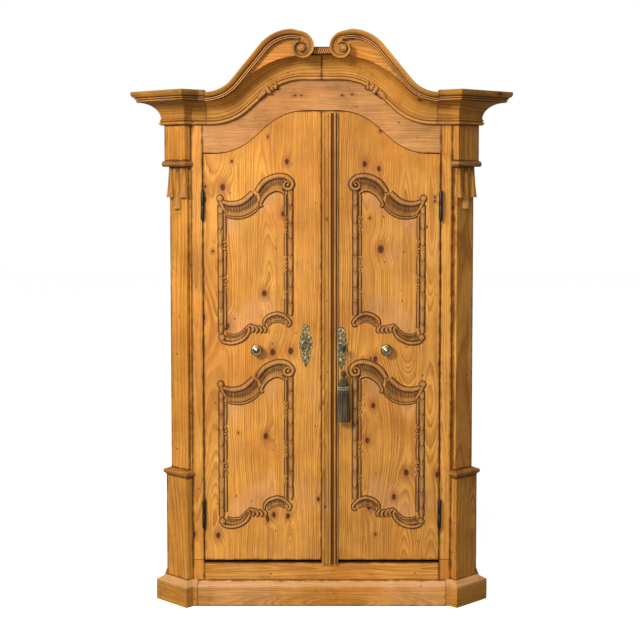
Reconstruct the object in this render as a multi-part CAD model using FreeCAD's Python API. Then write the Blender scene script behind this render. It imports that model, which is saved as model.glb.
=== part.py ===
"""Two-door carved pine armoire with canted pilasters and a swan-neck pediment.

Millimetres. +X right, +Y back, +Z up, the doors face -Y. Pieces are laid out with
Y = 0 on the front of the stiles and Z = 0 on the floor, and each piece is moved
back or forward once, when it is written, so that the origin is under the middle.
"""
import FreeCAD, Part
import math
import os

V = FreeCAD.Vector

# Carcass
back_y = 483.0
stile_width = 43.5
stile_thickness = 28.0
side_thickness = 28.0
cant_run = 89.0
carcass_rise = 96.0
floor_rise = 12.0
board_thickness = 20.0
back_thickness = 18.0

# Canted pilasters
return_depth = 31.0
pedestal_height = 407.0
cap_height = 30.0
cap_projection = 9.0
shaft_face_inset = 16.0
shaft_side_inset = 12.0
neck_height = 24.0
capital_height = 138.0
neck_projection = 8.0
drop_top_radius = 10.0
drop_bottom_radius = 21.0
drop_length = 119.0
middle_drop_length = 163.0
drop_spacing = 40.0

# Plinth
plinth_height = 80.0
plinth_chamfer_height = 18.0
plinth_projection = 40.0
plinth_top_projection = 10.0
block_projection = 30.0
block_top_projection = 5.0
plinth_end_inset = 18.0

# Doors
hinge_gap = 2.5
meeting_gap = 2.0
door_bottom_z = 176.0
door_gap = 3.0
door_foot_gap = 12.0
door_shoulder_height = 1600.5
door_rise = 166.5
crown_half_width = 60.0
shoulder_flat = 42.0
door_thickness = 30.0
door_proud = 5.0
curve_share = 0.96
astragal_width = 63.0
astragal_flat_width = 26.0
astragal_bead_width = 10.0
astragal_groove = 11.0
astragal_thickness = 12.0
astragal_overlap = 8.0
astragal_drop = 15.0

# Carved frames on the doors
frame_margin = 58.0
frame_inner_x = 103.0
frame_width = 301.0
frame_height = 669.0
frame_above_knob = 20.5
frame_below_knob = 39.0
frame_relief = 12.0
strip_width = 34.0
top_rail_width = 96.0
foot_rail_width = 62.0
shoulder_drop = 100.0
foot_rise = 86.0

# Cornice and pediment
frieze_shoulder_height = 112.5
bead_height = 24.0
bead_projection = 15.0
neck_fillet_projection = 9.0
cove_height = 65.0
cove_projection = 76.0
fascia_projection = 94.0
fascia_height = 42.0
fascia_lip = 20.0
cove_facets = 6
cornice_end_inset = 58.0
cove_rise = 173.0
cove_crown_half_width = 70.0
cove_shoulder_flat = 20.0
swan_rise = 239.0
swan_top_x = 112.0
swan_lower_share = 0.988
swan_upper_share = 0.755
swan_height = 33.0
scroll_eye_x = 79.0
scroll_eye_drop = 38.0
scroll_inner_radius = 47.0
scroll_foot_radius = 34.0
scroll_back_radius = 36.0
scroll_eye_radius = 14.0
scroll_eye_proud = 5.0
pediment_depth = 56.0
crest_half_width = 38.0
crest_rise = 36.0
crest_seat = 16.0
husk_x = 188.0
husk_width = 78.0
husk_height = 30.0
husk_proud = 8.0

# Hinges
barrel_radius = 7.0
barrel_length = 104.0
barrel_standoff = 1.0
finial_height = 13.0
finial_tip_radius = 1.0
pin_radius = 4.0
pin_clearance = 0.05
knuckle_gap = 0.4
leaf_thickness = 2.0
leaf_depth = 26.0
upper_hinge_drop = 200.5
lower_hinge_rise = 186.0

# Knobs and escutcheons
knob_rise = 836.0
knob_radius = 23.0
knob_neck_radius = 9.0
knob_neck_length = 14.0
knob_height = 22.0
rosette_radius = 19.0
rosette_thickness = 3.0
plate_width = 57.0
plate_height = 168.0
plate_thickness = 2.5
plate_waist_share = 0.72
left_plate_x = 62.0
left_plate_rise = 15.0
right_plate_x = 76.0

# Lock, key and bolts
key_x = 85.0
key_rise = 6.0
key_radius = 3.5
key_clearance = 0.5
key_reach = 37.0
bow_radius = 10.5
bow_wire_radius = 2.4
collar_radius = 6.0
collar_length = 4.0
bit_drop = 15.0
bit_thickness = 5.0
bit_setback = 14.0
case_inner_x = 12.0
case_outer_x = 132.0
case_height = 110.0
case_depth = 24.0
case_wall = 2.0
bolt_height = 26.0
bolt_thickness = 8.0
bolt_clearance = 0.5
keeper_offset = 10.0
keeper_width = 24.0
rod_radius = 5.0
rod_clearance = 0.5
rod_x = 40.0
rod_length = 240.0
rod_setback = 1.5
rod_case_width = 34.0
rod_case_height = 120.0
rod_case_inset = 60.0
keeper_thickness = 6.0

# Tassel on the key
cord_radius = 1.5
cord_clearance = 0.3
tassel_head_radius = 19.0
tassel_skirt_radius = 27.0
tassel_skirt_depth = 17.0
tassel_knot_drop = 86.0
tassel_head_height = 62.0
tassel_skirt_height = 142.0
tassel_waist_share = 0.72

# Inside
shelf_space = 345.0
cleat_height = 40.0
cleat_depth = 24.0
rail_radius = 14.0
rail_gap = 40.0
bracket_width = 60.0
bracket_thickness = 16.0
bracket_fit = 0.2

overrun = 30.0
diagonal = math.sqrt(2.0)
half_share = 0.5

cant_face = cant_run * diagonal
frame_outer_x = frame_inner_x + frame_width
door_hinge_x = frame_outer_x + frame_margin
stile_inner_x = door_hinge_x + hinge_gap
stile_outer_x = stile_inner_x + stile_width
side_outer_x = stile_outer_x + cant_run
plinth_end_x = stile_outer_x - plinth_end_inset
cornice_end_x = stile_outer_x - cornice_end_inset
cove_shoulder_x = cornice_end_x - cove_shoulder_flat
shoulder_x = door_hinge_x - shoulder_flat
knob_x = (frame_outer_x + frame_inner_x) * half_share
plinth_top_z = plinth_height + plinth_chamfer_height
floor_board_z = plinth_top_z + floor_rise
pedestal_top_z = plinth_top_z + pedestal_height
door_shoulder_z = door_bottom_z + door_shoulder_height
door_crown_z = door_shoulder_z + door_rise
bead_bottom_z = door_shoulder_z + frieze_shoulder_height
neck_bottom_z = bead_bottom_z - capital_height - neck_height
carcass_top_z = bead_bottom_z + carcass_rise
shelf_z = carcass_top_z - shelf_space
rail_z = shelf_z - cleat_height - rail_gap
knob_z = door_bottom_z + knob_rise
key_z = knob_z + key_rise
left_plate_z = knob_z + left_plate_rise
upper_frame_z = knob_z + frame_above_knob
lower_frame_z = knob_z - frame_below_knob - frame_height
upper_hinge_z = door_shoulder_z - upper_hinge_drop
lower_hinge_z = door_bottom_z + lower_hinge_rise
door_front_y = -door_proud
door_back_y = door_thickness - door_proud
back_board_y = back_y - back_thickness
swan_start_z = bead_bottom_z + bead_height + cove_height
cove_crown_z = swan_start_z + cove_rise
cornice_top_z = swan_start_z + fascia_height
cornice_reach = return_depth / diagonal + fascia_projection * diagonal
centre_y = -(back_y - cornice_reach) * half_share
corner = V(-(stile_outer_x + cant_run * half_share), cant_run * half_share, 0)
pin_y = door_front_y - barrel_standoff - barrel_radius
pin_x = door_hinge_x + hinge_gap * half_share


def box(x0, x1, y0, y1, z0, z1):
    return Part.makeBox(x1 - x0, y1 - y0, z1 - z0, V(x0, y0, z0))


def prism(points, z0, z1):
    """Upright prism over a plan outline."""
    face = Part.Face(Part.makePolygon([V(x, y, z0) for x, y in points + points[:1]]))
    return face.extrude(V(0, 0, z1 - z0))


def plate(edges, y0, y1):
    """Board cut to an outline in the X-Z plane, from y0 back to y1."""
    face = Part.Face(Part.Wire(Part.__sortEdges__(edges)))
    face.translate(V(0, y0, 0))
    return face.extrude(V(0, y1 - y0, 0))


def segments(points):
    return [Part.makeLine(a, b) for a, b in zip(points, points[1:])]


def stacked(sections):
    """Solid through plan outlines with the same number of corners, with flat facets."""
    wires = []
    for z, points in sections:
        wires.append(Part.makePolygon([V(x, y, z) for x, y in points + points[:1]]))
    return Part.makeLoft(wires, True, True)


def mirrored(shape):
    return shape.mirror(V(0, 0, 0), V(1, 0, 0))


def cylinder(start, direction, radius, length):
    return Part.makeCylinder(radius, length, start, direction)


def group(shapes):
    solids = []
    for shape in shapes:
        solids.extend(shape.Solids)
    return Part.makeCompound(solids)


def write(name, shape):
    """One piece to its file, moved to the shared origin."""
    moved = shape.copy()
    moved.translate(V(0, centre_y, 0))
    if not moved.isValid():
        print("not valid:", name)
    moved.exportStep("parts/" + name + ".step")


def write_pair(name, left_shape):
    write(name + "_left", left_shape)
    write(name + "_right", mirrored(left_shape))


def turned_to_corner(shape):
    """Piece made facing the front with its back at Y = 0, set on the left canted board."""
    turned = shape.copy()
    turned.rotate(V(0, 0, 0), V(0, 0, 1), -45)
    turned.translate(corner)
    return turned


def rising_curve(x0, z0, r0, x1, z1, r1):
    """Level start at (x0, z0), level end at (x1, z1): arc, straight and reversed arc."""
    across, up = x1 - x0, z1 - z0 - r0 - r1
    lean = math.atan2(up, across) + math.asin((r0 + r1) / math.hypot(across, up))
    low, high = V(x0, 0, z0 + r0), V(x1, 0, z1 - r1)

    def on_low(angle):
        return low + V(r0 * math.sin(angle), 0, -r0 * math.cos(angle))

    def on_high(angle):
        return high + V(-r1 * math.sin(angle), 0, r1 * math.cos(angle))

    return [
        Part.Arc(on_low(0), on_low(lean * half_share), on_low(lean)).toShape(),
        Part.makeLine(on_low(lean), on_high(lean)),
        Part.Arc(on_high(lean), on_high(lean * half_share), on_high(0)).toShape(),
    ]


def equal_radius(x0, z0, x1, z1):
    """Radius of a rising curve whose two bends are alike, with a short straight between."""
    across, up = x1 - x0, z1 - z0
    return curve_share * (across * across + up * up) / (4 * up)


def door_top(lift, edge_x, end_x):
    """Top edge of the left door from its hinge side to the meeting line, raised by lift."""
    low, high = door_shoulder_z + lift, door_crown_z + lift
    radius = equal_radius(-shoulder_x, low, -crown_half_width, high)
    curve = rising_curve(-shoulder_x, low, radius, -crown_half_width, high, radius)
    start = Part.makeLine(V(-edge_x, 0, low), V(-shoulder_x, 0, low))
    end = Part.makeLine(V(-crown_half_width, 0, high), V(end_x, 0, high))
    return [start] + curve + [end]


def corner_outline(projection, run_projection, end_x):
    """Plan of a moulding round the left canted corner, from the front run to the side run."""
    tip_y = -(return_depth / diagonal + projection * diagonal)
    tip_x = -(stile_outer_x + return_depth / diagonal)
    valley_x = tip_x - tip_y - run_projection
    front = [
        (-end_x, 0),
        (-end_x, -run_projection),
        (valley_x, -run_projection),
        (tip_x, tip_y),
    ]
    side = [(corner.x + y - corner.y, corner.y + x - corner.x) for x, y in front]
    board = [(-side_outer_x, cant_run), (-stile_outer_x, 0)]
    return front + side[::-1] + board


def run_end_y(end_x):
    """Place on the side where the corner moulding that starts at end_x stops."""
    return corner.y - end_x - corner.x


def pilaster_outline(side_projection, face_projection):
    half_width = cant_face * half_share + side_projection
    face_y = -(return_depth + face_projection)
    return [(-half_width, 0), (-half_width, face_y), (half_width, face_y), (half_width, 0)]


def carcass():
    write_pair("stile", stile())
    board = [
        (-stile_outer_x, 0),
        (-side_outer_x, cant_run),
        (-side_outer_x + side_thickness, cant_run),
        (-stile_outer_x, stile_thickness),
    ]
    write_pair("corner_board", prism(board, 0, carcass_top_z))
    write_pair("side_panel", box(-side_outer_x, -side_outer_x + side_thickness,
                                 cant_run, back_board_y, 0, carcass_top_z))
    write("back_boards", box(-side_outer_x, side_outer_x, back_board_y, back_y, 0, carcass_top_z))
    inner_x = side_outer_x - side_thickness
    deck = [
        (-stile_outer_x, stile_thickness),
        (stile_outer_x, stile_thickness),
        (inner_x, cant_run),
        (inner_x, back_board_y),
        (-inner_x, back_board_y),
        (-inner_x, cant_run),
    ]
    write("floor_boards", prism(deck, floor_board_z, floor_board_z + board_thickness))
    write("top_boards", prism(deck, carcass_top_z - board_thickness, carcass_top_z))
    write("bottom_rail", box(-stile_inner_x, stile_inner_x, 0, stile_thickness,
                             0, door_bottom_z - door_foot_gap))
    write("frieze_board", frieze_board())


def stile():
    blank = box(-stile_outer_x, -stile_inner_x, 0, stile_thickness, 0, carcass_top_z)
    for z in (lower_hinge_z, upper_hinge_z):
        blank = blank.cut(hinge_leaf(z - barrel_length * half_share, z, -1))
    return blank


def frieze_board():
    left = door_top(door_gap, stile_inner_x, 0)
    shoulder = door_shoulder_z + door_gap
    left += segments([
        V(-stile_inner_x, 0, shoulder),
        V(-stile_inner_x, 0, carcass_top_z),
        V(-cornice_end_x, 0, carcass_top_z),
    ])
    for edge in cove_path():
        left.append(edge.translated(V(0, 0, carcass_top_z - bead_bottom_z)))
    right = [mirrored(edge) for edge in left]
    return plate(left + right, 0, stile_thickness)


def plinth():
    outlines = [
        (0, corner_outline(block_projection, plinth_projection, plinth_end_x)),
        (plinth_height, corner_outline(block_projection, plinth_projection, plinth_end_x)),
        (plinth_top_z, corner_outline(block_top_projection, plinth_top_projection, plinth_end_x)),
    ]
    write_pair("plinth_block", stacked(outlines))
    profile = [
        (0, 0),
        (-plinth_projection, 0),
        (-plinth_projection, plinth_height),
        (-plinth_top_projection, plinth_top_z),
        (0, plinth_top_z),
    ]
    front = Part.Face(Part.makePolygon([V(-plinth_end_x, y, z) for y, z in profile + profile[:1]]))
    write("plinth_front", front.extrude(V(plinth_end_x + plinth_end_x, 0, 0)))
    start = run_end_y(plinth_end_x)
    left = side_run(profile, start)
    write("plinth_sides", group([left, mirrored(left)]))


def side_run(profile, start_y):
    """Straight moulding along the left side, from its corner piece to the back."""
    points = [V(-side_outer_x + out, start_y, z) for out, z in profile + profile[:1]]
    return Part.Face(Part.makePolygon(points)).extrude(V(0, back_y - start_y, 0))


def pilasters():
    face = pilaster_outline(0, 0)
    write_pair("pedestal", turned_to_corner(prism(face, plinth_top_z, pedestal_top_z)))
    lip = pilaster_outline(cap_projection, cap_projection)
    shaft = pilaster_outline(-shaft_side_inset, -shaft_face_inset)
    cap_top_z = pedestal_top_z + cap_height
    step = cap_height / 3
    cap = stacked([
        (pedestal_top_z, face),
        (pedestal_top_z + step, lip),
        (cap_top_z - step, lip),
        (cap_top_z, shaft),
    ])
    cap = turned_to_corner(cap)
    write("pedestal_caps", group([cap, mirrored(cap)]))
    write_pair("pilaster_shaft", turned_to_corner(prism(shaft, cap_top_z, neck_bottom_z)))
    neck_top_z = neck_bottom_z + neck_height
    ring = pilaster_outline(neck_projection, neck_projection)
    neck_step = neck_height / 3
    neck = stacked([
        (neck_bottom_z, face),
        (neck_bottom_z + neck_step, ring),
        (neck_top_z - neck_step, ring),
        (neck_top_z, face),
    ])
    neck = turned_to_corner(neck)
    write("capital_necks", group([neck, mirrored(neck)]))
    write_pair("capital", turned_to_corner(prism(face, neck_top_z, bead_bottom_z)))
    drops = [turned_to_corner(drop) for drop in carved_drops()]
    write("pilaster_drops", group(drops + [mirrored(drop) for drop in drops]))


def carved_drops():
    """Three half-round drops that hang under the necking on the shaft's face."""
    face_y = -(return_depth - shaft_face_inset)
    front = box(-return_depth - overrun, return_depth + overrun, face_y - return_depth, face_y,
                0, carcass_top_z)
    drops = []
    for place, length in ((-1, drop_length), (0, middle_drop_length), (1, drop_length)):
        foot = V(place * drop_spacing, face_y, neck_bottom_z - length)
        cone = Part.makeCone(drop_bottom_radius, drop_top_radius, length, foot, V(0, 0, 1))
        drops.append(cone.common(front))
    return drops


def cornice_profile():
    """Projection and height pairs, from the bead up to the top of the cove."""
    middle = bead_bottom_z + bead_height * half_share
    top = bead_bottom_z + bead_height
    points = [
        (neck_fillet_projection, bead_bottom_z),
        (bead_projection, middle),
        (neck_fillet_projection, top),
    ]
    for step in range(1, cove_facets + 1):
        angle = math.pi * half_share * step / cove_facets
        out = neck_fillet_projection + (cove_projection - neck_fillet_projection) * (1 - math.cos(angle))
        points.append((out, top + cove_height * math.sin(angle)))
    return points


def fascia_profile():
    return [
        (fascia_projection, cornice_top_z - fascia_lip),
        (fascia_projection, cornice_top_z),
    ]


def cove_path():
    """Lower line of the cornice on the left half, from the corner piece to the middle."""
    low, high = bead_bottom_z, bead_bottom_z + cove_rise
    radius = equal_radius(-cove_shoulder_x, low, -cove_crown_half_width, high)
    curve = rising_curve(-cove_shoulder_x, low, radius, -cove_crown_half_width, high, radius)
    start = Part.makeLine(V(-cornice_end_x, 0, low), V(-cove_shoulder_x, 0, low))
    end = Part.makeLine(V(-cove_crown_half_width, 0, high), V(0, 0, high))
    return [start] + curve + [end]


def swan_path():
    low, high = swan_start_z, swan_start_z + swan_rise
    bend = equal_radius(-cornice_end_x, low, -swan_top_x, high)
    return rising_curve(-cornice_end_x, low, bend * swan_lower_share,
                        -swan_top_x, high, bend * swan_upper_share)


def swept(path, profile):
    """Moulding of a profile in (projection, height above the path's start) along the path."""
    spine = Part.Wire(path)
    start = path[0].Vertexes[0].Point
    points = [start + V(0, -out, rise) for out, rise in profile + profile[:1]]
    shell = Part.BRepOffsetAPI.MakePipeShell(spine)
    shell.setBiNormalMode(V(0, 1, 0))
    shell.add(Part.makePolygon(points))
    shell.build()
    shell.makeSolid()
    return Part.Solid(shell.shape())


def cornice():
    profile = cornice_profile()
    sections = [
        (z, corner_outline(out, out, cornice_end_x)) for out, z in profile + fascia_profile()
    ]
    write_pair("cornice_corner", stacked(sections))
    straight = [(-out, z) for out, z in profile + fascia_profile()]
    back = [(0, cornice_top_z), (0, bead_bottom_z)]
    left = side_run(straight + back, run_end_y(cornice_end_x))
    write("cornice_sides", group([left, mirrored(left)]))
    cove_profile = [(out, z - bead_bottom_z) for out, z in profile]
    cove_back = [(0, cove_profile[-1][1]), (0, 0)]
    cove = swept(cove_path(), cove_profile + cove_back)
    write_pair("cornice_cove", cove)
    necks = swan_neck(cove)
    write_pair("swan_neck", necks)
    coves = [cove, mirrored(cove)]
    scrolls = [necks, mirrored(necks)]
    write("pediment_board", pediment_board(coves, scrolls))
    write("pediment_crest", pediment_crest(scrolls))
    write("cornice_husks", cornice_husks(coves))


def swan_neck(cove):
    lip = fascia_height - fascia_lip
    profile = [
        (0, 0),
        (cove_projection, 0),
        (fascia_projection, lip),
        (fascia_projection, swan_height),
        (0, swan_height),
    ]
    neck = swept(swan_path(), profile)
    eye = V(-scroll_eye_x, 0, swan_start_z + swan_rise - scroll_eye_drop)
    front = eye + V(0, -fascia_projection, 0)
    boss = cylinder(front, V(0, -1, 0), scroll_eye_radius, scroll_eye_proud)
    return neck.fuse([scroll(eye), boss]).removeSplitter().cut(cove)


def scroll(eye):
    """Volute at the top of the left neck, with a spiral outline about its eye."""
    neck_top = swan_start_z + swan_rise
    start = V(-swan_top_x, 0, neck_top + swan_height)
    inner = eye + V(scroll_inner_radius, 0, 0)
    foot = eye + V(0, 0, -scroll_foot_radius)
    back = eye + V(-scroll_back_radius, 0, 0)
    shoulder_radius = (scroll_inner_radius + start.z - eye.z) * half_share
    low_radius = (scroll_inner_radius + scroll_foot_radius) * half_share
    back_radius = (scroll_foot_radius + scroll_back_radius) * half_share
    edges = [
        Part.Arc(start, eye + V(shoulder_radius, 0, shoulder_radius) / diagonal, inner).toShape(),
        Part.Arc(inner, eye + V(low_radius, 0, -low_radius) / diagonal, foot).toShape(),
        Part.Arc(foot, eye + V(-back_radius, 0, -back_radius) / diagonal, back).toShape(),
    ]
    edges += segments([back, V(-swan_top_x, 0, neck_top), start])
    return plate(edges, -fascia_projection, 0)


def pediment_board(coves, scrolls):
    low = swan_start_z
    path = swan_path()
    right = [mirrored(edge) for edge in path]
    top = low + swan_rise
    rim = segments([
        V(-swan_top_x, 0, top),
        V(-scroll_eye_x, 0, top),
        V(-scroll_eye_x, 0, cove_crown_z + crest_seat),
        V(scroll_eye_x, 0, cove_crown_z + crest_seat),
        V(scroll_eye_x, 0, top),
        V(swan_top_x, 0, top),
    ])
    base = segments([V(-cornice_end_x, 0, low), V(cornice_end_x, 0, low)])
    board = plate(path + right + rim + base, -pediment_depth, 0)
    for shape in coves + scrolls:
        board = board.cut(shape)
    return group([solid for solid in board.Solids if solid.BoundBox.ZMax > cove_crown_z])


def pediment_crest(scrolls):
    """Low carved strip between the two scrolls, on the front of the pediment board."""
    strip = box(-crest_half_width, crest_half_width, -cove_projection, -pediment_depth,
                cove_crown_z, cove_crown_z + crest_rise)
    for shape in scrolls:
        strip = strip.cut(shape)
    return max(strip.Solids, key=lambda solid: solid.Volume)


def cornice_husks(coves):
    """Carved leaf on each shoulder of the cove, under the rise of the arch."""
    high = bead_bottom_z + cove_rise
    leaf = box(-husk_x - husk_width * half_share, -husk_x + husk_width * half_share,
               -bead_projection - husk_proud, 0, high - husk_height - husk_height, high - husk_height)
    leaf = leaf.cut(coves[0])
    low_part = min(leaf.Solids, key=lambda solid: solid.CenterOfMass.z)
    return group([low_part, mirrored(low_part)])


def hinge_leaf(z0, z1, side):
    """Plate of a left hinge, let into the edge of the door (side 1) or the stile (side -1)."""
    edge = -pin_x + side * hinge_gap * half_share
    near, far = sorted((edge, edge + side * leaf_thickness))
    return box(near, far, pin_y, pin_y + leaf_depth, z0, z1)


def knuckle(z0, z1):
    return cylinder(V(-pin_x, pin_y, z0), V(0, 0, 1), barrel_radius, z1 - z0)


def hinge_half(z0, z1, side):
    bore = cylinder(V(-pin_x, pin_y, z0), V(0, 0, 1), pin_radius + pin_clearance, z1 - z0)
    return knuckle(z0, z1).fuse(hinge_leaf(z0, z1, side)).cut(bore)


def hinges():
    frame_halves, door_halves, pins = [], [], []
    for z in (lower_hinge_z, upper_hinge_z):
        bottom, top = z - barrel_length * half_share, z + barrel_length * half_share
        frame_halves.append(hinge_half(bottom, z, -1))
        door_halves.append(hinge_half(z + knuckle_gap, top, 1))
        axis = V(-pin_x, pin_y, bottom)
        pin = cylinder(axis, V(0, 0, 1), pin_radius, barrel_length + knuckle_gap)
        foot = Part.makeCone(finial_tip_radius, barrel_radius, finial_height,
                             axis - V(0, 0, finial_height), V(0, 0, 1))
        head = Part.makeCone(barrel_radius, finial_tip_radius, finial_height,
                             V(-pin_x, pin_y, top + knuckle_gap), V(0, 0, 1))
        pins.append(pin.fuse([foot, head]))
    write("hinge_frame_halves", group(frame_halves + [mirrored(part) for part in frame_halves]))
    write("hinge_pins", group(pins + [mirrored(part) for part in pins]))
    write_pair("hinge_door_halves", group(door_halves))


def door_leaf():
    """Left door, with a shaped top and cuts for the hinge leaves."""
    edge = -meeting_gap * half_share
    top = door_top(0, door_hinge_x, edge)
    rim = segments([
        V(-door_hinge_x, 0, door_shoulder_z),
        V(-door_hinge_x, 0, door_bottom_z),
        V(edge, 0, door_bottom_z),
        V(edge, 0, door_crown_z),
    ])
    leaf = plate(top + rim, door_front_y, door_back_y)
    for z in (lower_hinge_z, upper_hinge_z):
        leaf = leaf.cut(hinge_leaf(z + knuckle_gap, z + barrel_length * half_share, 1))
    return leaf


def carved_frame(z0):
    """Outline of one raised rococo frame on the left door, with an S-shaped top rail."""
    top = z0 + frame_height
    middle = -frame_inner_x - frame_width * half_share
    outer_bend = equal_radius(-frame_outer_x, top - shoulder_drop, middle, top)
    outer_top = rising_curve(-frame_outer_x, top - shoulder_drop, outer_bend, middle, top, outer_bend)
    outer = segments([
        V(middle, 0, top),
        V(-frame_inner_x, 0, top),
        V(-frame_inner_x, 0, z0 + foot_rise),
    ])
    foot_bend = equal_radius(middle, z0, -frame_inner_x, z0 + foot_rise)
    outer += rising_curve(middle, z0, foot_bend, -frame_inner_x, z0 + foot_rise, foot_bend)
    outer += segments([
        V(middle, 0, z0),
        V(-frame_outer_x, 0, z0),
        V(-frame_outer_x, 0, top - shoulder_drop),
    ])
    blank = plate(outer_top + outer, door_front_y - frame_relief, door_front_y)
    return blank.cut(frame_opening(z0, top, middle))


def frame_opening(z0, top, middle):
    left, right = -frame_outer_x + strip_width, -frame_inner_x - strip_width
    low, high = top - shoulder_drop - top_rail_width, top - top_rail_width
    bend = equal_radius(left, low, middle, high)
    foot_low, foot_high = z0 + foot_rail_width, z0 + foot_rail_width + foot_rise
    foot_bend = equal_radius(middle, foot_low, right, foot_high)
    edges = rising_curve(left, low, bend, middle, high, bend)
    edges += segments([V(middle, 0, high), V(right, 0, high), V(right, 0, foot_high)])
    edges += rising_curve(middle, foot_low, foot_bend, right, foot_high, foot_bend)
    edges += segments([V(middle, 0, foot_low), V(left, 0, foot_low), V(left, 0, low)])
    return plate(edges, door_front_y - frame_relief - overrun, door_front_y)


def knob():
    """Turned pull: rosette, neck and ringed head on the left door."""
    base = V(-knob_x, door_front_y, knob_z)
    out = V(0, -1, 0)
    rosette = cylinder(base, out, rosette_radius, rosette_thickness)
    neck = cylinder(base, out, knob_neck_radius, rosette_thickness + knob_neck_length)
    seat = base + V(0, -rosette_thickness - knob_neck_length, 0)
    head = Part.makeCone(knob_radius, knob_radius * half_share, knob_height, seat, out)
    return rosette.fuse([neck, head])


def escutcheon(x, z):
    """Waisted plate with rounded ends, centred on (x, z)."""
    radius = plate_width * half_share
    reach = plate_height * half_share - radius
    y0 = door_front_y - plate_thickness
    parts = [
        cylinder(V(x, y0, z + side * reach), V(0, 1, 0), radius, plate_thickness) for side in (-1, 1)
    ]
    waist = box(x - radius * plate_waist_share, x + radius * plate_waist_share,
                y0, door_front_y, z - reach, z + reach)
    return waist.fuse(parts).removeSplitter()


def astragal():
    """Strip on the meeting edge of the right door: flat, groove and two beads."""
    x0 = meeting_gap * half_share
    face = door_front_y - astragal_thickness
    flat = face + astragal_thickness / 3
    bead = x0 + astragal_flat_width
    groove = bead + astragal_bead_width
    end = x0 + astragal_width
    outline = [
        (x0, door_front_y),
        (x0, flat),
        (bead, flat),
        (bead, face),
        (groove, face),
        (groove, flat),
        (groove + astragal_groove, flat),
        (groove + astragal_groove, face),
        (end, face),
        (end, door_front_y),
    ]
    return prism(outline, door_bottom_z - astragal_drop, door_crown_z - astragal_overlap)


def doors():
    leaf = door_leaf()
    write("door_leaf_left", leaf)
    tunnel = key_tunnel(door_front_y, door_back_y)
    write("door_leaf_right", mirrored(leaf).cut(tunnel))
    frames = [carved_frame(lower_frame_z), carved_frame(upper_frame_z)]
    write("carved_frames_left", group(frames))
    write("carved_frames_right", group([mirrored(frame) for frame in frames]))
    write_pair("knob", knob())
    write("escutcheon_left", escutcheon(-left_plate_x, left_plate_z))
    strip = astragal()
    write("astragal", strip)
    right_plate = escutcheon(right_plate_x, key_z).cut(strip)
    for frame in frames:
        right_plate = right_plate.cut(mirrored(frame))
    write("escutcheon_right", right_plate.cut(key_tunnel(door_front_y - overrun, door_back_y)))


def key_tunnel(y0, y1):
    return cylinder(V(key_x, y0, key_z), V(0, 1, 0), key_radius + key_clearance, y1 - y0)


def key():
    """Steel key in the lock of the right door: bow, collar, shank and bit."""
    out = door_front_y - key_reach
    back = door_back_y + case_depth - bit_setback
    shank = cylinder(V(key_x, out, key_z), V(0, 1, 0), key_radius, back - out)
    bow = Part.makeTorus(bow_radius, bow_wire_radius, V(key_x, out - bow_radius, key_z), V(1, 0, 0))
    collar = cylinder(V(key_x, out, key_z), V(0, 1, 0), collar_radius, collar_length)
    bit = box(key_x - bow_wire_radius, key_x + bow_wire_radius, back - bit_thickness, back,
              key_z - bit_drop, key_z)
    return shank.fuse([bow, collar, bit])


def lock_case():
    """Hollow iron box on the inside of the right door, with a slot for the bolt."""
    low, high = key_z - case_height * half_share, key_z + case_height * half_share
    far = door_back_y + case_depth
    outer = box(case_inner_x, case_outer_x, door_back_y, far, low, high)
    inner = box(case_inner_x + case_wall, case_outer_x - case_wall,
                door_back_y + case_wall, far - case_wall, low + case_wall, high - case_wall)
    slot = bolt_block(case_inner_x - overrun, case_inner_x + overrun, bolt_clearance)
    return outer.cut(inner).cut(slot).cut(key_tunnel(door_back_y, door_back_y + case_wall))


def bolt_block(x0, x1, clearance):
    y0 = door_back_y + case_wall + bolt_clearance - clearance
    low = key_z + bit_drop + bolt_clearance
    return box(x0, x1, y0, y0 + bolt_thickness + clearance + clearance,
               low - clearance, low + bolt_height + clearance)


def lock_keeper():
    """Staple on the inside of the left door that takes the lock's bolt."""
    low = key_z + bit_drop - case_wall - bolt_clearance
    high = low + bolt_height + case_wall + case_wall + bolt_clearance + bolt_clearance
    block = box(-keeper_offset - keeper_width, -keeper_offset, door_back_y,
                door_back_y + case_depth, low - case_wall, high + case_wall)
    return block.cut(bolt_block(-keeper_offset - keeper_width + case_wall, 0, bolt_clearance))


def lock():
    write("lock_case", lock_case())
    write("lock_bolt", bolt_block(case_inner_x - case_wall * half_share, case_outer_x * half_share, 0))
    write("key", key())


def rod_axis_y():
    return stile_thickness + rod_setback + rod_radius


def bolt_rod(z0, z1):
    return cylinder(V(-rod_x, rod_axis_y(), z0), V(0, 0, 1), rod_radius, z1 - z0)


def rod_case(z0):
    depth = rod_axis_y() + rod_radius + case_wall + rod_clearance
    block = box(-rod_x - rod_case_width * half_share, -rod_x + rod_case_width * half_share,
                door_back_y, depth, z0, z0 + rod_case_height)
    bore = cylinder(V(-rod_x, rod_axis_y(), z0), V(0, 0, 1), rod_radius + rod_clearance, rod_case_height)
    return block.cut(bore)


def rod_keeper(z0):
    depth = rod_axis_y() + rod_radius + keeper_thickness
    block = box(-rod_x - rod_case_width * half_share, -rod_x + rod_case_width * half_share,
                stile_thickness, depth, z0, z0 + keeper_thickness)
    bore = cylinder(V(-rod_x, rod_axis_y(), z0), V(0, 0, 1), rod_radius + rod_clearance, keeper_thickness)
    return block.cut(bore)


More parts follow.
